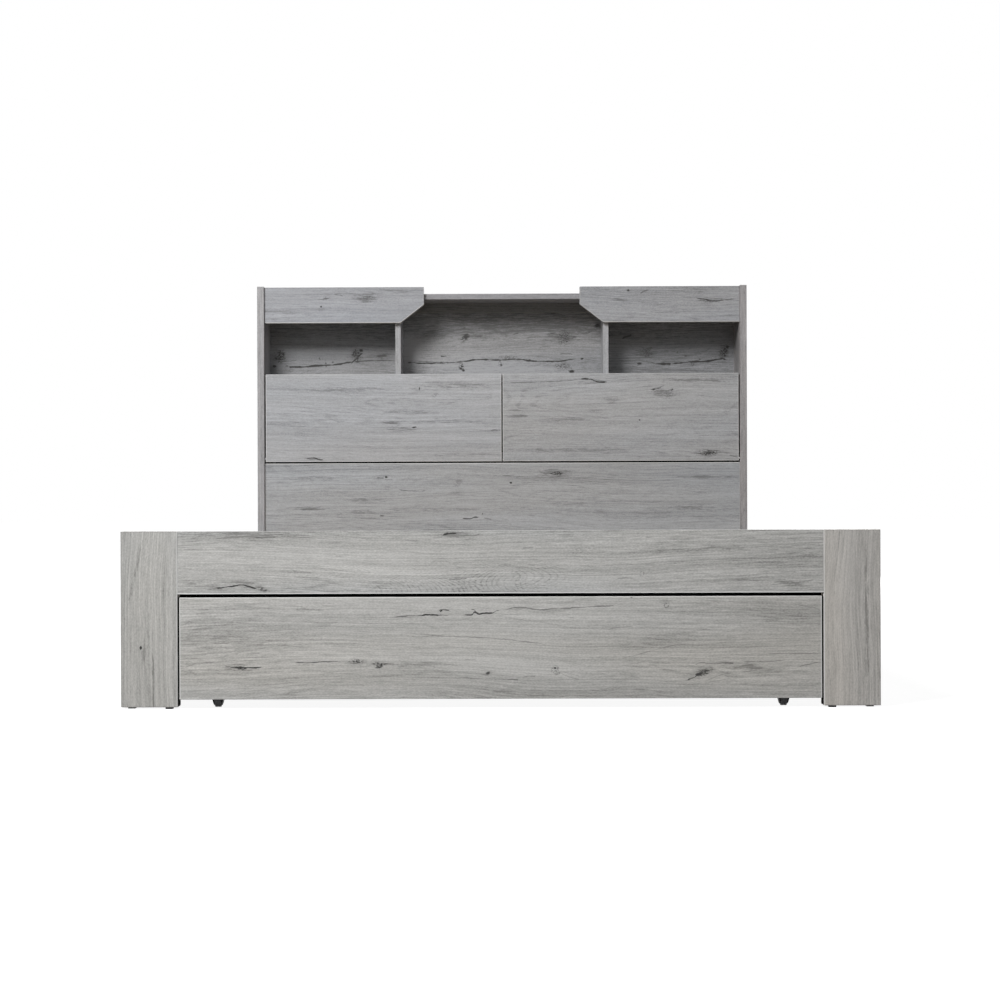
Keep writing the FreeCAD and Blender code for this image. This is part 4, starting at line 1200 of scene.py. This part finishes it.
def pine(name, order, seed):
    """Planed softwood with growth lines along the grain."""
    material, t, shader = new_material(name)
    moved = grain_place(t, order, seed)[-1]
    bend = t.sums("MULTIPLY", t.swing(moved, *pine_bend), pine_bend_reach)
    bent = t.vectors("ADD", moved, t.whole(0.0, bend, 0.0))
    wave = t.sums("SINE", t.sums("MULTIPLY", t.noise(bent, *pine_field), pine_ring_count))
    rings = t.step(wave, *pine_ring_range)
    fibre = t.noise(bent, *pine_fibre)
    tone = t.sums("MULTIPLY_ADD", rings, pine_ring_strength,
                  t.sums("MULTIPLY", fibre, pine_fibre_strength))
    t.join(t.blend(tone, pine_light, pine_dark), shader.inputs["Base Color"])
    raise_surface(t, shader, fibre, *pine_bump)
    shader.inputs["Roughness"].default_value = pine_roughness
    return material


def drawer_foil(name, order, seed):
    """Plain washed foil of the drawer's box, with a faint line structure."""
    material, t, shader = new_material(name)
    moved = grain_place(t, order, seed)[-1]
    fibre = t.noise(moved, *foil_fibre)
    tone = t.sums("MULTIPLY_ADD", t.swing(moved, *foil_streak), foil_streak_strength, fibre)
    colour = t.blend(t.sums("ADD", tone, 0.0, clamp=True), foil_dark, foil_light)
    t.join(colour, shader.inputs["Base Color"])
    raise_surface(t, shader, fibre, *foil_bump)
    shader.inputs["Roughness"].default_value = foil_roughness
    return material


def woven_tape(name):
    """Flat woven tape with a twill across its width."""
    material, t, shader = new_material(name)
    at = t.parts(t.put("ShaderNodeTexCoord").outputs["Object"])
    slant = t.sums("ADD", t.sums("MULTIPLY", at["X"], twill_x), t.sums("MULTIPLY", at["Y"], twill_y))
    rib = t.sums("MULTIPLY_ADD", t.sums("SINE", slant), 0.5, 0.5)
    t.join(t.blend(rib, tape_dark, tape_light), shader.inputs["Base Color"])
    raise_surface(t, shader, rib, *twill_bump)
    shader.inputs["Roughness"].default_value = twill_roughness
    return material


# How a piece that is made standing up turns to face another way
facing = {
    "up": Matrix.Identity(4),
    "down": Matrix.Rotation(math.pi, 4, "X"),
    "head": Matrix.Rotation(-math.pi / 2, 4, "X"),
    "foot": Matrix.Rotation(math.pi / 2, 4, "X"),
    "right": Matrix.Rotation(math.pi / 2, 4, "Y"),
    "left": Matrix.Rotation(-math.pi / 2, 4, "Y"),
}


def start(add, **settings):
    """Adds a primitive with nothing else chosen, and opens it for editing."""
    bpy.ops.object.select_all(action="DESELECT")
    add(**settings)
    piece = bpy.context.object
    bpy.ops.object.transform_apply(location=True, rotation=True, scale=True)
    bpy.ops.object.mode_set(mode="EDIT")
    return piece


def choose(piece, kind, test):
    """Selects the faces, edges or corners that pass the test."""
    bpy.ops.mesh.select_mode(type=kind)
    bpy.ops.mesh.select_all(action="DESELECT")
    shape = bmesh.from_edit_mesh(piece.data)
    items = {"FACE": shape.faces, "EDGE": shape.edges, "VERT": shape.verts}[kind]
    for item in items:
        if test(item):
            item.select_set(True)
    shape.select_flush_mode()
    bmesh.update_edit_mesh(piece.data)


def close(piece, smooth=30.0):
    """Ends the editing and smooths what is round."""
    bpy.ops.mesh.select_all(action="SELECT")
    bpy.ops.mesh.normals_make_consistent(inside=False)
    bpy.ops.object.mode_set(mode="OBJECT")
    bpy.ops.object.shade_smooth_by_angle(angle=math.radians(smooth))
    return piece


def middle(edge):
    """The middle of an edge."""
    return (edge.verts[0].co + edge.verts[1].co) / 2


def dress(piece, name, body, material):
    """Gives a piece its name, its material and the body that it moves with."""
    piece.name = name
    piece.data.name = name
    piece.data.materials.clear()
    piece.data.materials.append(material)
    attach(piece, body)


def copy_of(model, move):
    """A copy of the model, with a mesh of its own, moved into place."""
    piece = model.copy()
    piece.data = model.data.copy()
    scene.collection.objects.link(piece)
    piece.data.transform(move)
    return piece


def place_copies(model, name, spots, body, zinc):
    """Sets a copy of the steel model at each spot, and takes the model away."""
    for number, (spot, way) in enumerate(spots, 1):
        piece = copy_of(model, Matrix.Translation(spot) @ facing[way])
        dress(piece, f"{name}_{number:02d}", body, zinc)
    bpy.data.objects.remove(model)


def screw_head(radius, height):
    """A low domed head with a cross recess, standing on the ground with its top upwards."""
    piece = start(bpy.ops.mesh.primitive_cylinder_add, vertices=16, radius=radius, depth=height,
                  location=(0.0, 0.0, height / 2), rotation=(0.0, 0.0, math.pi / 16))
    choose(piece, "EDGE", lambda e: middle(e).z > height * 0.99)
    bpy.ops.mesh.bevel(offset=height * 0.45, segments=2)
    choose(piece, "FACE", lambda f: f.normal.z > 0.99)
    bpy.ops.mesh.inset(thickness=radius * 0.18)
    reach = radius * 0.45
    choose(piece, "VERT", lambda v: v.co.z > height * 0.99 and v.co.xy.length < radius * 0.66
           and min(abs(v.co.x), abs(v.co.y)) > v.co.xy.length * 0.4)
    bpy.ops.transform.resize(value=(0.3, 0.3, 1.0))
    choose(piece, "FACE", lambda f: f.normal.z > 0.99 and f.calc_center_median().xy.length < reach * 0.1)
    bpy.ops.mesh.extrude_region_move(TRANSFORM_OT_translate={"value": (0.0, 0.0, -height * 0.8)})
    return close(piece)


def cam_disc():
    """The face of a cam fitting: a rimmed disc with a cross slot."""
    piece = start(bpy.ops.mesh.primitive_cylinder_add, vertices=24, radius=cam_radius,
                  depth=cam_height, location=(0.0, 0.0, -cam_height / 2 + cam_stand))
    choose(piece, "FACE", lambda f: f.normal.z > 0.99)
    bpy.ops.mesh.inset(thickness=cam_rim)
    bpy.ops.mesh.inset(thickness=cam_step, depth=-cam_step)
    bpy.ops.mesh.inset(thickness=cam_well)
    choose(piece, "VERT", lambda v: v.co.xy.length < cam_radius * 0.5
           and min(abs(v.co.x), abs(v.co.y)) > v.co.xy.length * 0.3)
    bpy.ops.transform.resize(value=(0.35, 0.35, 1.0))
    choose(piece, "FACE", lambda f: f.normal.z > 0.99 and f.calc_center_median().xy.length < 0.0005)
    bpy.ops.mesh.extrude_region_move(TRANSFORM_OT_translate={"value": (0.0, 0.0, -cam_slot_depth)})
    return close(piece)


def staple():
    """The crown of a wire staple, with its legs bent down into the wood."""
    piece = start(bpy.ops.mesh.primitive_cube_add, size=1.0,
                  scale=(staple_crown, staple_width, staple_height), location=(0.0, 0.0, staple_stand))
    bpy.ops.mesh.subdivide(number_cuts=1)
    choose(piece, "FACE", lambda f: f.normal.z < -0.99 and abs(f.calc_center_median().x) > 0.001)
    bpy.ops.transform.resize(value=(0.3, 1.0, 1.0))
    choose(piece, "EDGE", lambda e: abs(middle(e).x) > staple_crown * 0.49 and middle(e).z > 0.0004)
    bpy.ops.mesh.bevel(offset=0.0002, segments=2)
    return close(piece)


def castor_wheel():
    """A roller with a grooved tread, dished sides and a hub round its bore."""
    piece = start(bpy.ops.mesh.primitive_cylinder_add, vertices=48, radius=wheel_radius,
                  depth=wheel_width, rotation=(0.0, math.pi / 2, 0.0))
    for x in (-groove_half, groove_half):
        bpy.ops.mesh.select_all(action="SELECT")
        bpy.ops.mesh.bisect(plane_co=(x, 0.0, 0.0), plane_no=(1.0, 0.0, 0.0))
    choose(piece, "FACE", lambda f: abs(f.normal.x) < 0.1 and abs(f.calc_center_median().x) < 0.0005)
    bpy.ops.mesh.inset(thickness=0.0001)
    bpy.ops.transform.shrink_fatten(value=-groove_depth)
    choose(piece, "EDGE", lambda e: abs(middle(e).x) > wheel_width * 0.49)
    bpy.ops.mesh.bevel(offset=wheel_rounding, segments=3)
    choose(piece, "FACE", lambda f: abs(f.normal.x) > 0.99)
    bpy.ops.mesh.inset(thickness=wheel_rim)
    bpy.ops.mesh.inset(thickness=dish_slope, depth=-dish_depth)
    bpy.ops.mesh.inset(thickness=dish_width)
    bpy.ops.mesh.inset(thickness=hub_slope, depth=hub_height)
    hub_radius = wheel_radius - wheel_rounding - wheel_rim - dish_slope - dish_width - hub_slope
    bpy.ops.mesh.inset(thickness=hub_radius - wheel_bore)
    bpy.ops.mesh.bridge_edge_loops()
    return close(piece, 35.0)


def castor_wheels(material):
    """The four rollers, each in place of its plain node."""
    model = castor_wheel()
    for corner in castor_corners:
        node = f"castor_wheel_{corner}"
        low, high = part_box(node)
        piece = copy_of(model, Matrix.Translation((low + high) / 2))
        dress(piece, f"castor_roller_{corner}", node, material)
        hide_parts(node)
    bpy.data.objects.remove(model)


def drawer_gap_shade_strip(material):
    """A black strip under the foot rail, painted shade that darkens the gap over the drawer front."""
    rail_low, rail_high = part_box("footboard_rail")
    width = rail_high.x * 2 - strip_side_gap
    piece = start(bpy.ops.mesh.primitive_cube_add, size=1.0,
                  scale=(width, strip_thickness, strip_height),
                  location=(0.0, strip_y, rail_low.z - strip_drop))
    choose(piece, "FACE", lambda f: f.normal.z < -0.9)
    bpy.ops.mesh.extrude_region_move(TRANSFORM_OT_translate={"value": (0.0, 0.0002, -strip_lip)})
    bpy.ops.transform.resize(value=(1.0, 0.5, 1.0))
    choose(piece, "EDGE", lambda e: abs(middle(e).x) < 0.001)
    bpy.ops.mesh.bevel(offset=0.0002, segments=2)
    dress(close(piece), "drawer_gap_shade_strip", "bed_frame", material)


def shade_tape_strip(low, high):
    """A thin black strip between two corners, painted shade in a gap, its long edges rounded on the side
    that shows.
    """
    size = Vector(high) - Vector(low)
    centre = (Vector(low) + Vector(high)) / 2
    piece = start(bpy.ops.mesh.primitive_cube_add, size=1.0, scale=size, location=centre)
    thin = min(range(3), key=lambda n: size[n])
    choose(piece, "FACE", lambda f: abs(f.normal[thin]) > 0.9)
    bpy.ops.mesh.inset(thickness=size[thin] * 0.6)
    choose(piece, "EDGE", lambda e: e.calc_length() > max(size) * 0.98)
    bpy.ops.mesh.bevel(offset=size[thin] * 0.2, segments=2)
    return close(piece)


def gap_shade_tapes(material):
    """Black tapes, painted shade that darkens the gaps beside the drawer and round the two doors.

    Each is given by its run across the bed, along it and up. A run across that starts right of the
    middle makes a pair, one on each side.
    """
    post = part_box("footboard_post_right")[0].x
    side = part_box("headboard_side_right")[0].x
    drawer_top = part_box("drawer_front")[1].z
    panel_low, panel_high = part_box("headboard_lower_panel")
    door_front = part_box("flap_door_right")[0].y
    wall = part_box("compartment_partition")[0].y
    strips = (
        ("drawer_side_shade_tape", (post - drawer_shade_tape_width, post), drawer_shade_tape_run,
         (drawer_shade_tape_foot, drawer_top)),
        ("door_side_shade_tape", (side - door_shade_tape_width, side), (door_front + door_shade_tape_inset, door_shade_tape_back),
         door_shade_tape_z),
        ("door_gap_shade_tape", (-gap_shade_tape_half, gap_shade_tape_half),
         (panel_low.y + gap_shade_tape_front_inset, panel_high.y - gap_shade_tape_back_inset),
         (panel_high.z, panel_high.z + gap_shade_tape_height)),
        ("door_stop_shade_tape", stop_shade_tape_x, stop_shade_tape_y, (panel_high.z, stop_shade_tape_top)),
        ("partition_shade_tape", (-partition_shade_tape_half, partition_shade_tape_half),
         (wall - partition_shade_tape_thickness, wall), partition_shade_tape_z),
    )
    for name, (inner, outer), y, z in strips:
        if inner < 0:
            runs = {name: (inner, outer)}
        else:
            runs = {f"{name}_left": (-outer, -inner), f"{name}_right": (inner, outer)}
        for label, x in runs.items():
            low, high = zip(x, y, z)
            dress(shade_tape_strip(low, high), label, "bed_frame", material)


def slat_fastenings(zinc):
    """A screw at both ends of every slat, and a staple where each webbing tape crosses it."""
    low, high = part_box("slats")
    first, last = low.y + slat_half_width, high.y - slat_half_width
    rows = [first + (last - first) * n / (slat_count - 1) for n in range(slat_count)]
    spots = [((side * slat_screw_x, y, high.z - screw_sink), "up") for y in rows for side in (-1, 1)]
    place_copies(screw_head(screw_radius, low_head), "slat_screw", spots, "bed_frame", zinc)
    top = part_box("slat_webbing")[1].z
    spots = [((side * staple_x, y, top - staple_sink), "up") for y in rows for side in (-1, 1)]
    place_copies(staple(), "tape_staple", spots, "bed_frame", zinc)


def cross_rail_screws(zinc):
    """Screws through the brackets, into the cross rail and into the side rails."""
    rail_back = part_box("under_bed_cross_rail")[1].y
    spots = []
    for side, inward in ((-1, "right"), (1, "left")):
        for z in cross_screw_z:
            spots.append(((side * cross_screw_rail_x, rail_back + cross_screw_rail_step, z), "head"))
            spots.append(((side * cross_screw_side_x, rail_back + cross_screw_side_step, z), inward))
    place_copies(screw_head(screw_radius, high_head), "cross_rail_screw", spots, "bed_frame", zinc)


def hanger_screws(zinc):
    """Screws in the two hangers of the centre beam."""
    low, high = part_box("beam_hangers")
    spots = []
    for y, way in ((low.y + hanger_plate, "head"), (high.y - hanger_plate, "foot")):
        for x in (-hanger_screw_x, hanger_screw_x):
            for z in hanger_screw_z:
                spots.append(((x, y, z), way))
    place_copies(screw_head(screw_radius, high_head), "hanger_screw", spots, "bed_frame", zinc)


def castor_screws(zinc):
    """Four screws round each castor, up into its bearer."""
    spots = []
    for corner in castor_corners:
        low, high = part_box(f"castor_wheel_{corner}")
        centre = (low + high) / 2
        for dx in (-castor_screw_x, castor_screw_x):
            for dy in (-castor_screw_y, castor_screw_y):
                spots.append(((centre.x + dx, centre.y + dy, castor_screw_z), "down"))
    place_copies(screw_head(small_screw_radius, middle_head), "castor_screw", spots, "drawer", zinc)


def corner_block_screws(zinc):
    """Screws in the blocks that hold the drawer's front to its sides."""
    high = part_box("drawer_corner_blocks")[1]
    spots = []
    for side, inward in ((-1, "right"), (1, "left")):
        for z in block_screw_z:
            spots.append(((side * (high.x - block_screw_step), high.y, z), "head"))
            spots.append(((side * (high.x - 2 * block_screw_step), high.y - block_screw_step,
                           z + block_screw_rise), inward))
    place_copies(screw_head(small_screw_radius, low_head), "corner_block_screw", spots, "drawer", zinc)


def cam_fittings(zinc):
    """Cams behind the headboard's panels and the foot rail, and under the compartment's floor."""
    panel_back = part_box("headboard_lower_panel")[1].y
    stretcher_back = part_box("headboard_rear_stretcher")[1].y
    rail_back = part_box("footboard_rail")[1].y
    floor_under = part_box("compartment_floor_board")[0].z
    spots = []
    for side in (-1, 1):
        spots += [((side * cam_x, panel_back, z), "head") for z in panel_cam_z]
        spots.append(((side * cam_x, stretcher_back, stretcher_cam_z), "head"))
        spots += [((side * rail_cam_x, rail_back, z), "head") for z in rail_cam_z]
        spots += [((side * cam_x, y, floor_under), "down") for y in floor_cam_y]
    place_copies(cam_disc(), "cam_fitting", spots, "bed_frame", zinc)


def dress_wood():
    """The boards in washed oak, the softwood of the base and the foil of the drawer's box."""
    for name, look in boards.items():
        finish_node(name, oak(name, *look))
    for name, look in pine_pieces.items():
        finish_node(name, pine(name, *look))
    for name, look in foil_pieces.items():
        finish_node(name, drawer_foil(name, *look))


def dress_fittings(plains):
    """The metal, plastic, rubber and woven pieces."""
    for finish, names in plain_pieces.items():
        for name in names:
            finish_node(name, plains[finish])
    finish_node("slat_webbing", woven_tape("webbing"))


def add_details(plains):
    """What is made here alone: rollers, the black strip and tapes that are painted shade in the gaps, and
    fastenings.
    """
    castor_wheels(plains["wheel_plastic"])
    drawer_gap_shade_strip(plains["shade_black_tape"])
    gap_shade_tapes(plains["shade_black_tape"])
    for fasten in (slat_fastenings, cross_rail_screws, hanger_screws, castor_screws,
                   corner_block_screws, cam_fittings):
        fasten(plains["zinc_steel"])


def seen_directly(t):
    """One for what the camera, a reflection or a clear piece sees, nothing for other light."""
    rays = t.put("ShaderNodeLightPath").outputs
    seen = t.sums("MAXIMUM", rays["Is Camera Ray"], rays["Is Glossy Ray"])
    return t.sums("MAXIMUM", seen, rays["Is Transmission Ray"])


def studio_floor():
    """A wide floor that looks white and keeps the bed's shadow."""
    bpy.ops.object.select_all(action="DESELECT")
    bpy.ops.mesh.primitive_plane_add(size=floor_size, location=(0.0, 0.0, 0.0))
    floor = bpy.context.object
    floor.name = "studio_floor"
    bpy.ops.object.transform_apply(location=True, rotation=True, scale=True)
    material, t, shader = new_material("studio_floor")
    shader.inputs["Base Color"].default_value = (floor_white, floor_white, floor_white, 1.0)
    shader.inputs["Roughness"].default_value = floor_roughness
    shader.inputs["Specular IOR Level"].default_value = 0.0
    place = t.put("ShaderNodeTexCoord").outputs["Object"]
    distance = t.put("ShaderNodeVectorMath", [(0, place)], operation="LENGTH").outputs["Value"]
    far = t.step(distance, glow_near, glow_far, floor_glow, 1.0)
    strength = t.sums("MULTIPLY", seen_directly(t), far)
    glow = t.put("ShaderNodeEmission", [("Strength", strength)])
    both = t.put("ShaderNodeAddShader", [(0, shader.outputs[0]), (1, glow.outputs[0])])
    end = next(n for n in material.node_tree.nodes if n.type == "OUTPUT_MATERIAL")
    t.join(both.outputs[0], end.inputs["Surface"])
    floor.data.materials.append(material)


def studio_room():
    """A white room to the eye that gives only a little light."""
    world = bpy.data.worlds.new("studio")
    scene.world = world
    world.use_nodes = True
    t = Tree(world.node_tree)
    back = next(n for n in world.node_tree.nodes if n.type == "BACKGROUND")
    back.inputs["Color"].default_value = (1.0, 1.0, 1.0, 1.0)
    t.join(t.spread(seen_directly(t), 0.0, 1.0, room_light, 1.0), back.inputs["Strength"])


def studio_lamps():
    """Soft rectangular lamps that the camera doesn't see."""
    for name, (place, aim, size, power) in lamps.items():
        turn = (Vector(aim) - Vector(place)).to_track_quat("-Z", "Y").to_euler()
        bpy.ops.object.light_add(type="AREA", location=place, rotation=turn)
        lamp = bpy.context.object
        lamp.name = name
        lamp.data.shape = "RECTANGLE"
        lamp.data.size, lamp.data.size_y = size
        lamp.data.energy = power
        lamp.visible_camera = False


def studio_camera():
    """The camera, where the picture was taken from."""
    turn = Euler((math.pi / 2 + camera_rise, 0.0, camera_turn)).to_matrix()
    turn = turn @ Matrix.Rotation(-camera_roll, 3, "Z")
    bpy.ops.object.camera_add(location=camera_place, rotation=turn.to_euler())
    camera = bpy.context.object
    camera.data.lens = camera_lens
    camera.data.sensor_width = sensor_width
    scene.camera = camera
    scene.view_settings.view_transform = "Standard"


# The whole scene: the bed, then the studio round it
dress_wood()
plain_finishes = {name: plain(name, *look) for name, look in plain_looks.items()}
dress_fittings(plain_finishes)
add_details(plain_finishes)
studio_floor()
studio_room()
studio_lamps()
studio_camera()
